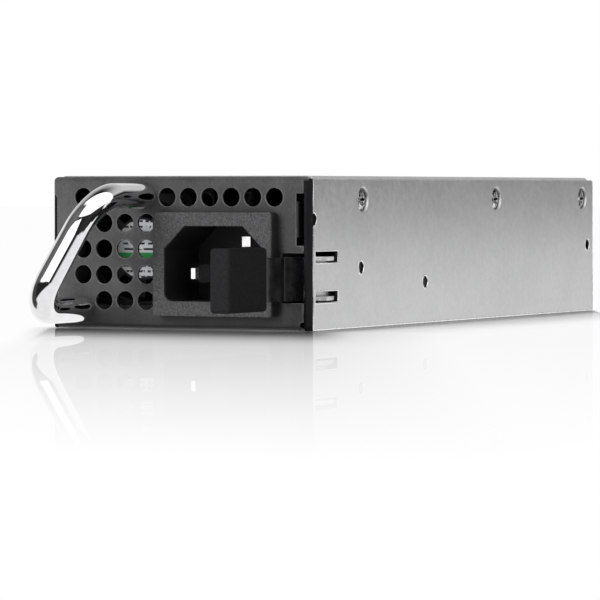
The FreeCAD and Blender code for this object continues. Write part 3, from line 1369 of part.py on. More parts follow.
# ---- Output connector ---------------------------------------------------------------------
def output_connector():
    """Moulded socket, open to the rear, flush with the rear wall."""
    x, y, z = plug_box(0)
    housing = block(x, y, z)
    wall = PLUG_WALL
    cavity = block((x[0] + wall, x[1] - wall), (y[0] + PLUG_FLOOR, y[1]), (z[0] + wall, z[1] - wall))
    return housing.cut([cavity] + contact_slots())


def contact_slots():
    slots = []
    _, y, z = plug_box(0)
    for x in contact_rows():
        half = CONTACT_SHEET / 2
        slots.append(block((x - half, x + half), (y[0], y[0] + PLUG_FLOOR), contact_height()))
    for x, level in signal_places():
        half = SIGNAL_WIDTH / 2
        slots.append(block((x - half, x + half), (y[0], y[0] + PLUG_FLOOR), (level - half, level + half)))
    return slots


def contact_rows():
    """X of each power contact: three on each side of the signal pins."""
    gap = SIGNAL_PITCH * 1.5 + CONTACT_PITCH / 2
    rows = []
    for index in range(CONTACT_COUNT // 2):
        rows += [gap + index * CONTACT_PITCH, -gap - index * CONTACT_PITCH]
    return rows


def contact_height():
    _, _, z = plug_box(0)
    return (z[0] + PLUG_WALL * 2, z[1] - PLUG_WALL * 2)


def signal_places():
    """Signal pins in two rows, as (x, z)."""
    _, _, z = plug_box(0)
    middle = (z[0] + z[1]) / 2
    places = []
    for index in range(SIGNAL_COUNT // 2):
        x = (index - (SIGNAL_COUNT // 2 - 1) / 2) * SIGNAL_PITCH
        places += [(x, middle - SIGNAL_PITCH / 2), (x, middle + SIGNAL_PITCH / 2)]
    return places


def power_contacts():
    """Flat contacts; each has a tail behind the housing that stands on the board."""
    _, y, _ = plug_box(0)
    low, high = contact_height()
    tail = y[0] - PLUG_FLOOR
    contacts = []
    for x in contact_rows():
        half = CONTACT_SHEET / 2
        side = [(tail, BOARD_TOP), (tail, high), (y[1] - CONTACT_SETBACK, high)]
        side += [(y[1] - CONTACT_SETBACK, low), (y[0], low), (y[0], BOARD_TOP)]
        contacts.append(prism("x", x - half, x + half, side))
    return contacts


def signal_pins():
    _, y, _ = plug_box(0)
    half = SIGNAL_WIDTH / 2
    pins = []
    for x, level in signal_places():
        tail = y[0] - PLUG_FLOOR - (level - BOARD_TOP) / 2
        side = [(tail, BOARD_TOP), (tail, level + half), (y[1] - CONTACT_SETBACK, level + half)]
        side += [(y[1] - CONTACT_SETBACK, level - half), (tail + SIGNAL_WIDTH, level - half)]
        side.append((tail + SIGNAL_WIDTH, BOARD_TOP))
        pins.append(prism("x", x - half, x + half, side))
    return pins


def main():
    os.makedirs("parts", exist_ok=True)
    save("top_cover", top_cover())
    save("chassis_tray", chassis_tray())
    save("cover_screws", cover_screws())
    save("front_frame", front_frame())
    save("front_panel", front_panel())
    save("tab_rivets", tab_rivet())
    save("foot_rivets", foot_rivets())
    save("handle", handle())
    save("handle_screws", handle_screws())
    save("inlet_body", inlet_body())
    for name in blade_centres():
        save(name, inlet_blade(name))
    save("latch_spring", latch_spring())
    save("latch_knob", latch_knob())
    save("latch_anchor", latch_anchor())
    save("latch_rivet", latch_rivet())
    save("fan_frame", fan_frame())
    save("fan_label", fan_label())
    save("fan_bearing", fan_bearing())
    save("fan_stator", fan_stator())
    save("fan_rotor", fan_rotor())
    save("fan_shaft", fan_shaft())
    save("fan_bracket", fan_bracket())
    save("fan_screws", fan_screws())
    save("main_board", main_board())
    save("insulator_sheet", insulator_sheet())
    save("board_standoffs", board_standoffs())
    save("board_screws", board_screws())
    save("fuse", fuse())
    save("choke_core", choke_core())
    save("choke_windings", choke_windings())
    save("film_capacitor", film_capacitor())
    save("bulk_capacitors", bulk_capacitors())
    sink = behind(SINK_FRONT)
    save("primary_heatsink", heatsink(sink, -1))
    save("power_transistors", power_packages(sink, 1, 2))
    save("control_board", control_board())
    save("transformer_core", transformer_core())
    save("transformer_coil", transformer_coil())
    output_sink = before_rear(OUTPUT_SINK_REAR)
    save("output_heatsink", heatsink(output_sink, -1))
    save("output_rectifiers", power_packages(output_sink, 1, 3))
    save("output_choke", output_choke())
    save("output_capacitors", output_capacitors())
    save("output_connector", output_connector())
    save("power_contacts", power_contacts())
    save("signal_pins", signal_pins())


main()
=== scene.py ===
import json
import math

import bmesh
import bpy
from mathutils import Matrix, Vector

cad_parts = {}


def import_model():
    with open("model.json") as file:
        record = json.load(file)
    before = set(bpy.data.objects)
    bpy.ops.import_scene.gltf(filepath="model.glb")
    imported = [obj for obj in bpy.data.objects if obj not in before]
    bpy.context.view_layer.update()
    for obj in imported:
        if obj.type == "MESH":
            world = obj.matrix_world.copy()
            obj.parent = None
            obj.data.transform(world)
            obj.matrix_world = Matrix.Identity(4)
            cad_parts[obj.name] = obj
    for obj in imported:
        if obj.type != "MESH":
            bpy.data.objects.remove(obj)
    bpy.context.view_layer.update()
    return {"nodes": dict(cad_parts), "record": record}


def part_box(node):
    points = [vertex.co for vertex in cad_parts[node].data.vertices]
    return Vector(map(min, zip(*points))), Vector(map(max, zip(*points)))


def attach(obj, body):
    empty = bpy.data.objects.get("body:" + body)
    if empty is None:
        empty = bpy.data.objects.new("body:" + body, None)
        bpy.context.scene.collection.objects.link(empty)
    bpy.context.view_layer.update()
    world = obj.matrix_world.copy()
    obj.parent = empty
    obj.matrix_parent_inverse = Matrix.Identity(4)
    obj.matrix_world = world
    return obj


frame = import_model()

MM = 0.001

# ---- The case, in millimetres -------------------------------------------------------------
CASE_WIDTH = 61.4
CASE_HEIGHT = 33.6
CASE_LENGTH = 172.2
HALF = CASE_WIDTH / 2
FRONT = -CASE_LENGTH / 2
COVER_SHEET = 0.8
SCREW_ROW = (24.5, 32.2)     # heights between which the cover is dimpled for its screws
DIMPLE_SHADE_DEPTHS = (0.15, 0.45)  # painted shade in the dimples starts and is full at these depths
SIDE_CORNERS = (1.0, 1.5)    # margins below and above the sheared edges in the sides
REAR_CORNER = 1.0            # and behind them
SLACK = 0.02
BARE_HOOK = 1.9              # the latch's hooks are bare steel this far in from the right side
OUTLINE_SIDE = 2.0           # the black front is bent rounder this near to its sides
OUTLINE_BASE = 1.6           # and this near to the base
SOLE = (0.9, 1.35)           # heights between which the underside's painted shadow ends
FACE_DEPTHS = (0.3, 0.9)     # depths between which the inlet's grainy face turns smooth and dark
BOW_LEVEL = 20.5             # height at which the case's sides stand upright
BOW = 7.0                    # how fast they lean away from it, per metre
BAR_PITCH, BAR_HEIGHT = 1.24, 0.48  # the plain bars on the fan's label
BAR_GAPS = 0.44              # noise under this leaves a gap in a bar
PRINT_REACH = 0.72           # the bars' reach from the label's middle, in radii
GREEN_BAND = (0.45, 0.126)   # the band's lower and upper edge below the middle, in radii

# ---- Surfaces: scales in cells per metre, lengths in metres -------------------------------
NOISE_SPAN = (0.3, 0.7)      # noise mostly stays between these
NOISE_CORE = (0.35, 0.65)    # and half of it between these
AGREEING = (0.99, 0.85)      # how well a bevel's normal agrees with the face's at its rim and middle
CORNER_SHADE_REACH = 7.0 * MM      # painted shade darkens the black coat in corners and openings over this distance
CORNER_SHADE_SPAN = (0.35, 0.95)   # between these levels of open sky
SHEARED_FACE = 0.3           # the sideways part of a sheared face's normal is under this
CONE_FACE = (0.5, 0.9)       # and that of a dimple's cone between these

ZINC = ((0.595, 0.60, 0.60), (0.685, 0.69, 0.69))
ZINC_WORN = (0.95, 0.95, 0.95)
# painted shade and bare cut on the sheared walls of the cover's holes and slots
SHEARED_CUT_AND_SHADE = (0.02, 0.02, 0.021)
# painted shade in the screw dimples
DIMPLE_SHADE = (0.03, 0.03, 0.03)
SCREW = ((0.05, 0.05, 0.052), (0.26, 0.26, 0.265), (0.88, 0.88, 0.88))
SCREW_WORN = (0.9, 0.9, 0.9)
CHROME = ((0.80, 0.80, 0.81), (0.86, 0.86, 0.87))
STRIP_BLACK = ((0.008, 0.008, 0.009), (0.017, 0.017, 0.018))
STRIP_STEEL = ((0.62, 0.62, 0.63), (0.97, 0.97, 0.97))
# painted shade in the black coat's corners and openings and along its base
COAT_SHADE = (0.004, 0.004, 0.004)
INLET_FACE = ((0.040, 0.040, 0.041), (0.085, 0.085, 0.087))
# painted highlight: pale speckles standing in for the grain's glints
INLET_PAINTED_GLINT = (0.22, 0.22, 0.225)
INLET_BEHIND = (0.022, 0.022, 0.023)
LABEL_FILM = (0.80, 0.81, 0.82)
LABEL_GREEN = (0.06, 0.42, 0.12)
LABEL_BARS = (0.05, 0.06, 0.06)
BOARD_MASK = (0.012, 0.10, 0.035)
BOARD_TRACK = (0.03, 0.20, 0.07)

# Metals with a light grain: colour, roughness.
METALS = {
    "contact_metal": ((0.88, 0.87, 0.86), 0.15),
    "bearing_bronze": ((0.60, 0.40, 0.20), 0.3),
    "copper_wire": ((0.75, 0.35, 0.15), 0.3),
    "standoff_brass": ((0.75, 0.58, 0.28), 0.25),
    "sink_aluminium": ((0.62, 0.63, 0.65), 0.35),
    "burr": ((0.98, 0.98, 0.98), 0.2),
}

# Grained plastics: dark and light colour, roughness, scale and strength of the grain, gloss.
PLASTICS = {
    "knob_plastic": ((0.016, 0.016, 0.017), (0.021, 0.021, 0.022), 0.42, 1600, 0.15, 0.0),
    "fan_plastic": ((0.007, 0.007, 0.008), (0.014, 0.014, 0.015), 0.4, 1200, 0.2, 0.5),
    "clear_film": ((0.55, 0.53, 0.45), (0.60, 0.58, 0.50), 0.3, 500, 0.1, 0.5),
    "fuse_case": ((0.03, 0.022, 0.018), (0.05, 0.038, 0.03), 0.35, 1500, 0.2, 0.5),
    "ferrite": ((0.018, 0.018, 0.02), (0.035, 0.035, 0.038), 0.5, 1800, 0.4, 0.5),
    "film_case": ((0.55, 0.36, 0.03), (0.65, 0.44, 0.05), 0.3, 900, 0.1, 0.5),
    "can_sleeve": ((0.010, 0.012, 0.02), (0.018, 0.02, 0.032), 0.25, 700, 0.1, 0.5),
    "package_epoxy": ((0.012, 0.012, 0.012), (0.02, 0.02, 0.02), 0.4, 1500, 0.3, 0.5),
    "coil_tape": ((0.60, 0.42, 0.05), (0.68, 0.50, 0.08), 0.3, 800, 0.15, 0.5),
    "rivet_coat": ((0.010, 0.010, 0.011), (0.025, 0.025, 0.026), 0.4, 1200, 0.2, 0.1),
    "tab_rivet_coat": ((0.008, 0.008, 0.009), (0.018, 0.018, 0.019), 0.4, 1200, 0.2, 0.1),
}

# Black coats: dark and light colour, roughness, gloss, millimetres of bend along the outline.
COATS = {
    "black_sheet": ((0.032, 0.032, 0.033), (0.086, 0.086, 0.087), 0.40, 0.4, 1.0),
    "frame_coat": ((0.010, 0.010, 0.011), (0.020, 0.020, 0.021), 0.45, 0.01, 0.4),
    "worn_edge": ((0.045, 0.045, 0.046), (0.085, 0.085, 0.087), 0.20, 0.9, 0.4),
}

# Nodes that wear something else than their slot's material.
SPECIAL = {"latch_rivet": "rivet_coat", "tab_rivets": "tab_rivet_coat", "front_frame": "frame_coat"}

# ---- Beads on punched edges, in millimetres: steps into the sheet and off its face ----------
PANEL_BEAD = [(-0.10, -0.30), (-0.09, -0.10), (-0.03, 0.02), (0.06, 0.05), (0.16, 0.035), (0.26, -0.01)]
COVER_LIP = [(-0.03, -0.08), (-0.02, 0.0), (0.2, 0.05), (0.34, 0.05), (0.42, -0.01)]
COVER_RIM = [(0.0, -0.05), (0.0, 0.0), (0.36, 0.06), (0.46, -0.01)]
SMALLEST_LOOP = 0.5          # beads lie on runs of edges over this span
CUT_OUTS = 14.0              # the cover's holes and slots span less than this, its outline more
PANEL_LOOPS = 100.0          # greatest span on the panel
COVER_LOOPS = 400.0          # and on the cover
WELD = 0.002                 # points nearer than this count as one
ON_LEVEL = 0.004             # an edge lies on a face if it is this near to its level
FLAT_FACE = 0.98             # the normal's part across the level is over this on the face itself
STEEP_FACE = 0.5             # and under this on the cut beside it

# ---- The floor, in metres -----------------------------------------------------------------
FLOOR_SIZE = 12.0
FLOOR_COLOUR = (0.95, 0.95, 0.95)
SHADOW_COLOUR = (0.0, 0.0, 0.0)
SHADOW_LEAN = 0.466          # the shadow's way to the right on the floor, per step to the front
SHADOW_DEPTH = 0.85
SHADOW_AHEAD = (0.010, 0.095)  # it fades between these distances before the case
SHADOW_BESIDE = 0.012        # and over this one beside it
BACKDROP_FULL = 0.044        # weighted distance from the case at which only the backdrop is left
AHEAD_WEIGHT = 0.5           # how much each way from the case counts in that distance
BESIDE_WEIGHT = 1.1
LEFT_WEIGHT = 5.0
BEHIND_WEIGHT = 8.0
SLANT_WEIGHT = 30.0
SHEEN = 0.50
SHEEN_AHEAD = (0.04, 0.38)   # the sheen fades between these distances before the case
SHEEN_BESIDE = 0.03          # and over this one beside it
SHEEN_KEPT = 0.25            # down to this share
LACQUER_IOR = 1.45

# ---- Light and camera: places in metres, angles in degrees --------------------------------
MATT_LEVEL = 0.65            # the room's light on surfaces that aren't glossy
DARK_ROOM = 0.02
GREY_WALL = 0.58
WHITE_FLOOR = 0.94
BRIGHT = 1.6
KEY_PLACE = (-0.30, -1.05, 0.42)
KEY_TARGET = (0, -0.08, 0.015)
KEY_SIZE = (0.35, 0.30)
KEY_POWER = 8.8
CAMERA_PLACE = (0.40007, -0.88143, 0.0304)
CAMERA_TURN = 25.0
CAMERA_DIP = 1.537
LENS, SENSOR = 244.8, 36.0   # millimetres
FAR_CLIP = 20.0


# ---- Node helpers -------------------------------------------------------------------------
class Tree:
    """Short way to add nodes to one node tree."""

    def __init__(self, tree):
        self.tree = tree

    def add(self, kind, **settings):
        node = self.tree.nodes.new(kind)
        for key, value in settings.items():
            setattr(node, key, value)
        return node

    def link(self, output, socket):
        self.tree.links.new(output, socket)

    def feed(self, socket, value):
        """Give a socket a number or a colour of its own, or link it to an output."""
        if isinstance(value, tuple):
            socket.default_value = (*value, 1.0)
        elif isinstance(value, (int, float)):
            socket.default_value = value
        else:
            self.link(value, socket)

    def math(self, operation, first, second=0.0):
        node = self.add("ShaderNodeMath", operation=operation)
        self.feed(node.inputs[0], first)
        self.feed(node.inputs[1], second)
        return node.outputs["Value"]

    def product(self, first, *others):
        for other in others:
            first = self.math("MULTIPLY", first, other)
        return first

    def weighted(self, first, first_weight, second, second_weight):
        """Sum of two values, each times its weight."""
        return self.math("ADD", self.product(first, first_weight), self.product(second, second_weight))

    def span(self, value, low, high, start, end, kind="LINEAR"):
        """Value from low..high carried over to start..end."""
        node = self.add("ShaderNodeMapRange", interpolation_type=kind)
        node.inputs["From Min"].default_value = low
        node.inputs["From Max"].default_value = high
        node.inputs["To Min"].default_value = start
        node.inputs["To Max"].default_value = end
        self.link(value, node.inputs["Value"])
        return node.outputs["Result"]

    def smooth(self, value, low, high, start, end):
        return self.span(value, low, high, start, end, "SMOOTHSTEP")

    def parts(self, vector):
        node = self.add("ShaderNodeSeparateXYZ")
        self.link(vector, node.inputs["Vector"])
        return node.outputs


class Nodes(Tree):
    """Node tree of one material."""

    def __init__(self, name):
        self.material = bpy.data.materials.new(name)
        self.material.use_nodes = True
        super().__init__(self.material.node_tree)
        self.shader = self.tree.nodes["Principled BSDF"]
        self.coords = None

    def position(self):
        """Place on the object in metres."""
        if self.coords is None:
            self.coords = self.add("ShaderNodeTexCoord").outputs["Object"]
        return self.coords

    def axis(self, letter):
        return self.parts(self.position())[letter]

    def facing(self, letter):
        """One part of the face's own normal."""
        return self.parts(self.add("ShaderNodeNewGeometry").outputs["True Normal"])[letter]

    def scaled(self, scale):
        mapping = self.add("ShaderNodeMapping")
        mapping.inputs["Scale"].default_value = scale
        self.link(self.position(), mapping.inputs["Vector"])
        return mapping.outputs["Vector"]

    def noise(self, scale, detail=2.0, rough=0.5):
        """Noise with its own scale on each axis, in cells per metre."""
        node = self.add("ShaderNodeTexNoise")
        node.inputs["Scale"].default_value = 1.0
        node.inputs["Detail"].default_value = detail
        node.inputs["Roughness"].default_value = rough
        self.link(self.scaled(scale), node.inputs["Vector"])
        return node.outputs["Fac"]

    def ramp(self, value, places, colours):
        node = self.add("ShaderNodeValToRGB")
        elements = node.color_ramp.elements
        while len(elements) < len(places):
            elements.new(0.5)
        for element, place, colour in zip(elements, places, colours):
            element.position = place
            element.color = (*colour, 1.0)
        self.link(value, node.inputs["Fac"])
        return node.outputs["Color"]

    def mix(self, factor, first, second):
        node = self.add("ShaderNodeMix", data_type="RGBA")
        for name, value in (("Factor", factor), ("A", first), ("B", second)):
            self.feed([socket for socket in node.inputs if socket.name == name and socket.enabled][0], value)
        return [socket for socket in node.outputs if socket.enabled][0]

    def between(self, value, low, high):
        return self.product(self.math("GREATER_THAN", value, low), self.math("LESS_THAN", value, high))

    def set(self, **values):
        """Feed the shader's sockets, each named with _ for a space."""
        for key, value in values.items():
            self.feed(self.shader.inputs[key.replace("_", " ")], value)

    def rounded(self, radius):
        """Normal of edges rounded by a radius, and how worn they are: 0 on flat faces, 1 on the edge."""
        bevel = self.add("ShaderNodeBevel", samples=4)
        self.feed(bevel.inputs["Radius"], radius)
        lean = self.add("ShaderNodeVectorMath", operation="DOT_PRODUCT")
        self.link(bevel.outputs["Normal"], lean.inputs[0])
        self.link(self.add("ShaderNodeNewGeometry").outputs["Normal"], lean.inputs[1])
        return bevel.outputs["Normal"], self.span(lean.outputs["Value"], *AGREEING, 0.0, 1.0)

    def bump(self, height, strength, distance, normal=None):
        node = self.add("ShaderNodeBump")
        node.inputs["Strength"].default_value = strength
        node.inputs["Distance"].default_value = distance
        self.link(height, node.inputs["Height"])
        if normal is not None:
            self.link(normal, node.inputs["Normal"])
        self.link(node.outputs["Normal"], self.shader.inputs["Normal"])


# ---- Metals -------------------------------------------------------------------------------
def zinc_sheet():
    """Dull zinc plated sheet: fine mottling, sheared walls painted dark for their bare cut and their shade,
    screw dimples with painted shade, sides bowed very slightly.
    """
    nodes = Nodes("zinc_sheet")
    mottle = nodes.noise((900, 700, 900), 3.0, 0.65)
    cloud = nodes.noise((90, 60, 90))
    texture = nodes.weighted(mottle, 0.65, cloud, 0.35)
    outward = nodes.math("ABSOLUTE", nodes.axis("X"))
    sideways = nodes.math("ABSOLUTE", nodes.facing("X"))
    height = nodes.axis("Z")

    # Painted shade: the sheared walls of holes and slots turn near black, for their bare cut and for the shade
    # inside them.
    sheared = nodes.math("LESS_THAN", sideways, SHEARED_FACE)
    skin = nodes.math("GREATER_THAN", outward, (HALF - COVER_SHEET - SLACK) * MM)
    wall = nodes.between(height, SIDE_CORNERS[0] * MM, (CASE_HEIGHT - SIDE_CORNERS[1]) * MM)
    inside = nodes.math("LESS_THAN", nodes.axis("Y"), (-FRONT - REAR_CORNER) * MM)
    edge = nodes.product(sheared, skin, wall, inside)

    normal, wear = nodes.rounded(0.3 * MM)
    row = nodes.between(height, SCREW_ROW[0] * MM, SCREW_ROW[1] * MM)
    wear = nodes.product(wear, nodes.span(row, 0, 1, 1.0, 0.15))
    cone = nodes.between(sideways, *CONE_FACE)
    # Painted shade: the inner part of each screw dimple is darkened where the head shades it.
    start, full = DIMPLE_SHADE_DEPTHS
    depth = nodes.span(outward, (HALF - full) * MM, (HALF - start) * MM, 0.9, 0.0)
    dimple_shade = nodes.product(cone, row, depth)

    colour = nodes.mix(wear, nodes.ramp(texture, NOISE_CORE, ZINC), ZINC_WORN)
    # The dimples take their painted shade here.
    colour = nodes.mix(dimple_shade, colour, DIMPLE_SHADE)
    # The sheared walls take their painted dark here, with no metal.
    nodes.set(Base_Color=nodes.mix(edge, colour, SHEARED_CUT_AND_SHADE), Metallic=nodes.span(edge, 0, 1, 1.0, 0.0))
    dull = nodes.span(mottle, *NOISE_SPAN, 0.44, 0.52)
    nodes.set(Roughness=nodes.math("SUBTRACT", dull, nodes.product(wear, 0.25)))
    above = nodes.math("SUBTRACT", height, BOW_LEVEL * MM)
    bow = nodes.product(above, above, -BOW)
    grain = nodes.product(texture, 0.006 * MM)
    nodes.bump(nodes.math("ADD", bow, grain), 1.0, 1.0, normal)
    return nodes.material


def bright_steel(name, colour, roughness):
    """Plated steel, brass or copper with a light turned grain."""
    nodes = Nodes(name)
    grain = nodes.noise((1800, 1800, 1800))
    dark = tuple(0.8 * value for value in colour)
    nodes.set(Base_Color=nodes.ramp(grain, NOISE_SPAN, (dark, colour)), Metallic=1.0)
    nodes.set(Roughness=nodes.span(grain, *NOISE_SPAN, roughness, roughness + 0.12))
    nodes.bump(grain, 0.15, 0.01 * MM)
    return nodes.material


def screw_steel():
    """Plated screws, scuffed light and dark."""
    nodes = Nodes("screw_steel")
    scuffs = nodes.noise((1300, 1300, 1300), 2.0, 0.7)
    normal, wear = nodes.rounded(0.25 * MM)
    steel = nodes.ramp(scuffs, (0.38, 0.5, 0.64), SCREW)
    nodes.set(Base_Color=nodes.mix(wear, steel, SCREW_WORN), Metallic=1.0)
    nodes.set(Roughness=nodes.span(scuffs, *NOISE_SPAN, 0.16, 0.3))
    nodes.bump(scuffs, 0.5, 0.08 * MM, normal)
    return nodes.material


def handle_chrome():
    """Mirror chrome with faint polishing marks."""
    nodes = Nodes("handle_chrome")
    marks = nodes.noise((900, 300, 900))
    nodes.set(Base_Color=nodes.ramp(marks, NOISE_SPAN, CHROME), Metallic=1.0)
    nodes.set(Roughness=nodes.span(marks, *NOISE_SPAN, 0.03, 0.07))
    return nodes.material


def black_strip():
    """Gloss black strip, bare bright steel on the two hooks."""
    nodes = Nodes("black_strip")
    grain = nodes.noise((700, 300, 500))
    hook = nodes.math("GREATER_THAN", nodes.axis("X"), (HALF - BARE_HOOK) * MM)
    black = nodes.ramp(grain, NOISE_SPAN, STRIP_BLACK)
    steel = nodes.ramp(grain, NOISE_SPAN, STRIP_STEEL)
    rough = nodes.math("ADD", nodes.span(grain, *NOISE_SPAN, 0.14, 0.24), nodes.product(hook, 0.2))
    nodes.set(Base_Color=nodes.mix(hook, black, steel), Metallic=hook, Roughness=rough)
    nodes.bump(grain, 0.25, 0.05 * MM, nodes.rounded(0.2 * MM)[0])
    return nodes.material


# ---- Black coat and plastics --------------------------------------------------------------
def powder_coat(name, dark, light, roughness, gloss, bend):
    """Satin black coat: fine orange peel over slow blotches, rounder along the case's outline, with painted
    shade in its corners, its openings and along its base.
    """
    nodes = Nodes(name)
    peel = nodes.noise((1500, 1500, 1500), 3.0, 0.6)
    cloud = nodes.noise((75, 75, 75))
    blotches = nodes.weighted(peel, 0.35, cloud, 0.65)
    height = nodes.axis("Z")
    side = nodes.math("GREATER_THAN", nodes.math("ABSOLUTE", nodes.axis("X")), (HALF - OUTLINE_SIDE) * MM)
    base = nodes.math("LESS_THAN", height, OUTLINE_BASE * MM)
    outline = nodes.math("MAXIMUM", side, base)
    normal, wear = nodes.rounded(nodes.span(outline, 0, 1, 0.35 * MM, bend * MM))

    # Painted shade: near black where ambient occlusion finds corners and openings, and along the base.
    occlusion = nodes.add("ShaderNodeAmbientOcclusion", samples=8)
    occlusion.inputs["Distance"].default_value = CORNER_SHADE_REACH
    corner_shade = nodes.span(occlusion.outputs["AO"], *CORNER_SHADE_SPAN, 0.85, 0.0)
    sole = nodes.span(height, SOLE[0] * MM, SOLE[1] * MM, 1.0, 0.0)
    paint = nodes.ramp(blotches, NOISE_CORE, (dark, light))
    paint = nodes.mix(nodes.math("MAXIMUM", sole, corner_shade), paint, COAT_SHADE)
    bright = tuple(2.2 * value for value in light)
    nodes.set(Base_Color=nodes.mix(nodes.product(wear, 0.35), paint, bright), Specular_IOR_Level=gloss)
    nodes.set(Roughness=nodes.span(blotches, *NOISE_CORE, roughness - 0.05, roughness + 0.08))
    nodes.bump(nodes.weighted(peel, 0.03, cloud, 0.6), 0.6, 1.0 * MM, normal)
    return nodes.material


def moulded(name, dark, light, roughness, grain, strength, gloss):
    """Moulded plastic with a spark-eroded grain."""
    nodes = Nodes(name)
    fine = nodes.noise((grain, grain, grain), 2.0, 0.6)
    nodes.set(Base_Color=nodes.ramp(fine, NOISE_CORE, (dark, light)), Specular_IOR_Level=gloss)
    nodes.set(Roughness=nodes.span(fine, *NOISE_SPAN, roughness - 0.03, roughness + 0.07))
    nodes.bump(fine, strength, 0.03 * MM, nodes.rounded(0.5 * MM)[0])
    return nodes.material


def inlet_plastic():
    """Spark-eroded black moulding with pale glints painted into its colour as highlights; smooth and darker
    behind its flange's face.
    """
    nodes = Nodes("inlet_plastic")
    low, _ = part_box("inlet_body")
    fine = nodes.noise((3600, 3600, 3600), 2.0, 0.6)
    # Painted highlights: pale speckles in the colour stand in for the grain's glints.
    painted_glint = nodes.span(nodes.noise((4200, 4200, 4200), 1.0), 0.62, 0.76, 0.0, 1.0)
    grainy = nodes.mix(painted_glint, nodes.ramp(fine, NOISE_CORE, INLET_FACE), INLET_PAINTED_GLINT)
    start, full = FACE_DEPTHS
    behind = nodes.span(nodes.axis("Y"), low[1] + start * MM, low[1] + full * MM, 0.0, 1.0)
    nodes.set(Base_Color=nodes.mix(behind, grainy, INLET_BEHIND), Specular_IOR_Level=0.12)
    nodes.set(Roughness=nodes.span(fine, *NOISE_SPAN, 0.34, 0.44))
    nodes.bump(fine, 0.8, 0.04 * MM, nodes.rounded(0.4 * MM)[0])
    return nodes.material


def fan_label_film():
    """Silver film with a green band and plain dark bars; it says nothing."""
    nodes = Nodes("fan_label_film")
    low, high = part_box("fan_label")
    height = nodes.axis("Z")
    centre = (low[0] + high[0]) / 2
    middle = (low[2] + high[2]) / 2
    radius = (high[2] - low[2]) / 2
    rows = nodes.math("PINGPONG", height, BAR_PITCH / 2 * MM)
    bars = nodes.math("LESS_THAN", rows, BAR_HEIGHT / 2 * MM)
    solid = nodes.math("GREATER_THAN", nodes.noise((1500, 1, 780), 0.0), BAR_GAPS)
    aside = nodes.math("ABSOLUTE", nodes.math("SUBTRACT", nodes.axis("X"), centre))
    printed = nodes.math("LESS_THAN", aside, radius * PRINT_REACH)
    lower, upper = (middle - radius * share for share in GREEN_BAND)
    band = nodes.between(height, lower, upper)
    marks = nodes.product(bars, solid, printed, nodes.math("SUBTRACT", 1.0, band))
    film = nodes.mix(band, LABEL_FILM, LABEL_GREEN)
    nodes.set(Base_Color=nodes.mix(marks, film, LABEL_BARS), Roughness=0.32, Metallic=0.8)
    return nodes.material


def board_laminate():
    """Green solder mask with fine tracks."""
    nodes = Nodes("board_laminate")
    tracks = nodes.add("ShaderNodeTexVoronoi", feature="DISTANCE_TO_EDGE")
    tracks.inputs["Scale"].default_value = 1.0
    nodes.link(nodes.scaled((260, 260, 260)), tracks.inputs["Vector"])
    lines = nodes.math("LESS_THAN", tracks.outputs["Distance"], 0.08)
    nodes.set(Base_Color=nodes.mix(lines, BOARD_MASK, BOARD_TRACK), Roughness=0.32)
    nodes.bump(lines, 0.2, 0.03 * MM)
    return nodes.material


def make_materials():
    """One finished material for each of the record's slots, and those of single nodes and beads."""
    materials = {
        "zinc_sheet": zinc_sheet(),
        "black_strip": black_strip(),
        "screw_steel": screw_steel(),
        "handle_chrome": handle_chrome(),
        "inlet_plastic": inlet_plastic(),
        "label_foil": fan_label_film(),
        "board_laminate": board_laminate(),
    }
    for recipe, table in ((bright_steel, METALS), (moulded, PLASTICS), (powder_coat, COATS)):
        for name, values in table.items():
            materials[name] = recipe(name, *values)
    return materials


def dress_nodes(materials):
    for entry in frame["record"]["subparts"]:
        node = frame["nodes"][entry["node"]]
        node.data.materials.clear()
        node.data.materials.append(materials[SPECIAL.get(entry["node"], entry["material_slot"])])


# ---- Added pieces -------------------------------------------------------------------------
def mesh_object(name, mesh, material):
    """Turn a bmesh into a piece that rides on the chassis."""
    data = bpy.data.meshes.new(name)
    mesh.to_mesh(data)
    mesh.free()
    data.materials.append(material)
    for polygon in data.polygons:
        polygon.use_smooth = True
    piece = bpy.data.objects.new(name, data)
    bpy.context.collection.objects.link(piece)
    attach(piece, "chassis")


def edge_steps(mesh, axis, level):
    """Sharp edges on one flat face: each point's neighbours, with the way from the edge into the sheet."""
    across = Vector([1.0 if index == axis else 0.0 for index in range(3)])
    steps = {}
    for edge in mesh.edges:
        if len(edge.link_faces) != 2 or any(abs(v.co[axis] - level) > ON_LEVEL * MM for v in edge.verts):
            continue
        flat = [abs(face.normal[axis]) > FLAT_FACE for face in edge.link_faces]
        if flat[0] == flat[1] or abs(edge.link_faces[flat.index(False)].normal[axis]) > STEEP_FACE:
            continue
        sheet = edge.link_faces[flat.index(True)]
        first, second = edge.verts
        way = across.cross(second.co - first.co).normalized()
        middle = (first.co + second.co) / 2
        if way.dot(sheet.calc_center_median() - middle) < 0:
            way = -way
        for here, other in ((first, second), (second, first)):
            steps.setdefault(here.index, []).append((other.index, way))
    return {index: near for index, near in steps.items() if len(near) <= 2}


def chains(steps):
    """The steps strung together: lists of points, those with open ends first."""
    ends = sorted(index for index, near in steps.items() if len(near) == 1)
    left = ends + sorted(index for index in steps if index not in ends)
    while left:
        chain = [left[0]]
        while True:
            following = [index for index, _ in steps[chain[-1]] if index in left and index not in chain]
            if not following:
                break
            chain.append(following[0])
        left = [index for index in left if index not in chain]
        if len(chain) > 1:
            yield chain


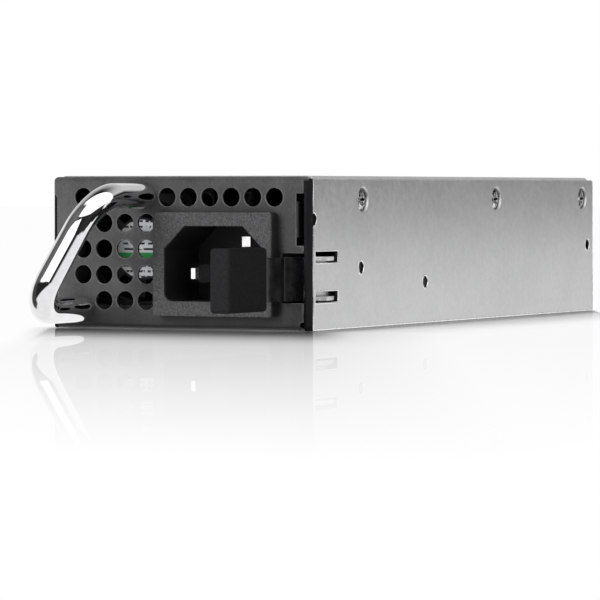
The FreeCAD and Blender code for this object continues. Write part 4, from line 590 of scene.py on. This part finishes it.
def edge_loops(node, axis, level):
    """Runs of sharp edges on one flat face of a node, each point with its way into the sheet."""
    mesh = bmesh.new()
    mesh.from_mesh(node.data)
    bmesh.ops.remove_doubles(mesh, verts=mesh.verts, dist=WELD * MM)
    mesh.normal_update()
    steps = edge_steps(mesh, axis, level)
    mesh.verts.ensure_lookup_table()
    runs = []
    for chain in chains(steps):
        closed = len(chain) > 3 and any(index == chain[0] for index, _ in steps[chain[-1]])
        points = []
        for index in chain:
            way = Vector((0, 0, 0))
            for _, side in steps[index]:
                way += side
            points.append((mesh.verts[index].co.copy(), way.normalized()))
        runs.append((closed, points))
    mesh.free()
    return runs


def edge_beads(name, node, axis, level, outward, profile, material, shortest, longest):
    """Thin rounded bead laid over the sharp edges of cut-outs, as punching and coating leave it."""
    mesh = bmesh.new()
    for closed, loop in edge_loops(frame["nodes"][node], axis, level * MM):
        start = loop[0][0]
        span = max((point - start).length for point, _ in loop)
        if not shortest * MM < span < longest * MM:
            continue
        rows = []
        for inward, rise in profile:
            row = []
            for point, way in loop:
                place = point + way * inward * MM
                place[axis] += outward * rise * MM
                place.x = max(place.x, -HALF * MM)
                row.append(mesh.verts.new(place))
            rows.append(row)
        for lower, upper in zip(rows, rows[1:]):
            for index in range(len(loop) if closed else len(loop) - 1):
                after = (index + 1) % len(loop)
                mesh.faces.new((lower[index], lower[after], upper[after], upper[index]))
    bmesh.ops.recalc_face_normals(mesh, faces=mesh.faces)
    mesh_object(name, mesh, material)


def worn_edges(materials):
    """Beads on the panel's cut-outs, on the cover's holes and slots and along its right side."""
    coat, burr = materials["worn_edge"], materials["burr"]
    edge_beads("panel_edges", "front_panel", 1, FRONT, -1, PANEL_BEAD, coat,
               SMALLEST_LOOP, PANEL_LOOPS)
    edge_beads("cover_edges_right", "top_cover", 0, HALF, 1, COVER_LIP, burr,
               SMALLEST_LOOP, CUT_OUTS)
    edge_beads("cover_outline_right", "top_cover", 0, HALF, 1, COVER_RIM, burr,
               CUT_OUTS, COVER_LOOPS)


# ---- Stage --------------------------------------------------------------------------------
def floor():
    """Glossy white floor with a painted contact shadow; its sheen fades with the distance, and it turns into
    the plain backdrop.
    """
    bpy.ops.mesh.primitive_plane_add(size=FLOOR_SIZE, location=(0, 0, 0))
    plane = bpy.context.object
    plane.name = "floor"
    nodes = Nodes("floor")
    nodes.tree.nodes.remove(nodes.shader)
    output = nodes.tree.nodes["Material Output"]
    rays = nodes.add("ShaderNodeLightPath")

    ahead = nodes.math("MAXIMUM", nodes.math("SUBTRACT", FRONT * MM, nodes.axis("Y")), 0.0)
    past_rear = nodes.math("ADD", nodes.axis("Y"), FRONT * MM)
    across = nodes.math("SUBTRACT", nodes.axis("X"), nodes.product(ahead, SHADOW_LEAN))
    right = nodes.math("SUBTRACT", across, HALF * MM)
    left = nodes.product(nodes.math("ADD", across, HALF * MM), -LEFT_WEIGHT)
    slant = nodes.math("ADD", right, nodes.product(past_rear, SHADOW_LEAN))
    behind = nodes.math("MAXIMUM", nodes.product(past_rear, BEHIND_WEIGHT), nodes.product(slant, SLANT_WEIGHT))
    beside = nodes.math("MAXIMUM", nodes.math("MAXIMUM", right, left), nodes.math("MAXIMUM", behind, 0.0))
    near = nodes.product(ahead, AHEAD_WEIGHT)
    wide = nodes.product(beside, BESIDE_WEIGHT)
    away = nodes.math("SQRT", nodes.weighted(wide, wide, near, near))

    # Painted shadow: the floor's colour turns dark just before and beside the case, for camera rays only.
    dark = nodes.product(nodes.smooth(ahead, *SHADOW_AHEAD, SHADOW_DEPTH, 0.0),
                         nodes.smooth(beside, 0.0, SHADOW_BESIDE, 1.0, 0.0),
                         rays.outputs["Is Camera Ray"])
    matte = nodes.add("ShaderNodeBsdfDiffuse")
    nodes.link(nodes.mix(dark, FLOOR_COLOUR, SHADOW_COLOUR), matte.inputs["Color"])
    white = nodes.add("ShaderNodeEmission")
    backdrop = nodes.product(nodes.smooth(away, 0.0, BACKDROP_FULL, 0.0, 1.0), rays.outputs["Is Camera Ray"])
    surface = nodes.add("ShaderNodeMixShader")
    nodes.link(backdrop, surface.inputs["Fac"])
    nodes.link(matte.outputs[0], surface.inputs[1])
    nodes.link(white.outputs[0], surface.inputs[2])

    gloss = nodes.add("ShaderNodeBsdfGlossy")
    gloss.inputs["Roughness"].default_value = 0.0
    grazing = nodes.add("ShaderNodeFresnel")
    grazing.inputs["IOR"].default_value = LACQUER_IOR
    sheen = nodes.product(nodes.span(ahead, *SHEEN_AHEAD, SHEEN, 0.0),
                          nodes.span(beside, 0.0, SHEEN_BESIDE, 1.0, SHEEN_KEPT),
                          grazing.outputs["Fac"])
    lacquered = nodes.add("ShaderNodeMixShader")
    nodes.link(sheen, lacquered.inputs["Fac"])
    nodes.link(surface.outputs[0], lacquered.inputs[1])
    nodes.link(gloss.outputs[0], lacquered.inputs[2])
    nodes.link(lacquered.outputs[0], output.inputs["Surface"])
    plane.data.materials.append(nodes.material)
    plane.visible_glossy = False


def softbox(name, place, target, size, power):
    light = bpy.data.lights.new(name, "AREA")
    light.shape = "RECTANGLE"
    light.size, light.size_y = size
    light.energy = power
    lamp = bpy.data.objects.new(name, light)
    bpy.context.collection.objects.link(lamp)
    lamp.location = place
    direction = Vector(target) - Vector(place)
    lamp.rotation_euler = direction.to_track_quat("-Z", "Y").to_euler()
    lamp.visible_glossy = False


class Studio(Tree):
    """Direction-dependent brightness of the room, in degrees from the front and above the horizon."""

    def __init__(self, tree, level):
        super().__init__(tree)
        place = self.parts(self.add("ShaderNodeTexCoord").outputs["Generated"])
        front = self.product(place["Y"], -1.0)
        self.turn = self.math("DEGREES", self.math("ARCTAN2", place["X"], front))
        self.rise = self.math("DEGREES", self.math("ARCSINE", place["Z"]))
        self.level = level

    def step(self, value, start, end):
        """Smooth 0..1 as value goes from start to end."""
        if start < end:
            return self.smooth(value, start, end, 0.0, 1.0)
        return self.smooth(value, end, start, 1.0, 0.0)

    def between(self, value, low, high, edge):
        rising = self.step(value, low - edge, low + edge)
        falling = self.step(value, high + edge, high - edge)
        return self.product(rising, falling)

    def lay(self, mask, level):
        """Cover the room with a level where the mask is 1."""
        self.level = self.weighted(self.level, self.math("SUBTRACT", 1.0, mask), mask, level)

    def panel(self, turns, rises, level, edge):
        """Rectangle that covers what is behind it."""
        across = self.between(self.turn, *turns, edge)
        up = self.between(self.rise, *rises, edge)
        self.lay(self.product(across, up), level)

    def shape(self, sides, level, edge):
        """Lit shape: a point is inside where each side's turn * across + rise * up is over its limit."""
        masks = [self.step(self.weighted(self.turn, across, self.rise, up), limit - edge, limit + edge)
                 for across, up, limit in sides]
        self.lay(self.product(*masks), level)


def world():
    """White to the camera and to matt surfaces; gloss sees a studio with large softboxes and a dark room."""
    surroundings = bpy.data.worlds.new("studio")
    surroundings.use_nodes = True
    tree = surroundings.node_tree
    background = tree.nodes["Background"]
    background.inputs["Color"].default_value = (1, 1, 1, 1)
    studio = Studio(tree, DARK_ROOM)

    # Dim wall on the left.
    studio.panel((-180.0, -28.0), (0.0, 62.0), 0.12, 4.0)
    # Wall at the rear: grey above, white below, with a dark gap on the right.
    behind = studio.step(studio.math("ABSOLUTE", studio.turn), 84.0, 100.0)
    studio.lay(studio.product(behind, studio.step(studio.rise, 80.0, 30.0)), GREY_WALL)
    studio.lay(studio.product(behind, studio.step(studio.rise, 32.0, 6.0)), 1.0)
    studio.panel((118.0, 172.0), (1.0, 21.0), 0.02, 5.0)
    # Dark board low on the right, dim screen in front.
    studio.panel((44.0, 104.0), (-36.0, 2.0), 0.03, 2.0)
    studio.panel((-60.0, -6.0), (5.0, 50.0), 0.16, 6.0)
    # White table, with a dark screen on the left.
    studio.lay(studio.step(studio.rise, -37.0, -43.0), WHITE_FLOOR)
    studio.panel((-92.0, -60.0), (-56.0, 4.0), 0.06, 5.0)
    # Softboxes: high on the right, overhead, and the long low one that runs down the handle.
    studio.shape([(1, 0, -8), (-1, 0, -119), (0, 1, 4), (0.34, 1, 24)], BRIGHT, 1.5)
    studio.shape([(1, 0, -66), (-1, 0, -119), (0, 1, 60)], BRIGHT, 4.0)
    studio.shape([(1, 0, -46), (-1, 0, -20), (-0.17, -1, -14.5), (0.52, -1, -24.8), (0.48, 1, -23.0)],
                 BRIGHT, 1.0)

    rays = studio.add("ShaderNodeLightPath").outputs
    glossy = studio.product(studio.level, rays["Is Glossy Ray"])
    matt = studio.product(studio.math("SUBTRACT", 1.0, rays["Is Glossy Ray"]), MATT_LEVEL)
    clear = studio.product(rays["Is Camera Ray"], 1.0 - MATT_LEVEL)
    level = studio.math("ADD", studio.math("ADD", glossy, matt), clear)
    studio.link(level, background.inputs["Strength"])
    bpy.context.scene.world = surroundings


def camera():
    """Long lens, nearly level, from the front right."""
    data = bpy.data.cameras.new("camera")
    data.lens = LENS
    data.sensor_width = SENSOR
    data.clip_end = FAR_CLIP
    view = bpy.data.objects.new("camera", data)
    bpy.context.collection.objects.link(view)
    view.location = CAMERA_PLACE
    view.rotation_euler = (math.radians(90 - CAMERA_DIP), 0, math.radians(CAMERA_TURN))
    bpy.context.scene.camera = view


def main():
    scene = bpy.context.scene
    scene.view_settings.view_transform = "Standard"
    materials = make_materials()
    dress_nodes(materials)
    worn_edges(materials)
    floor()
    world()
    softbox("key", KEY_PLACE, KEY_TARGET, KEY_SIZE, KEY_POWER)
    camera()


main()
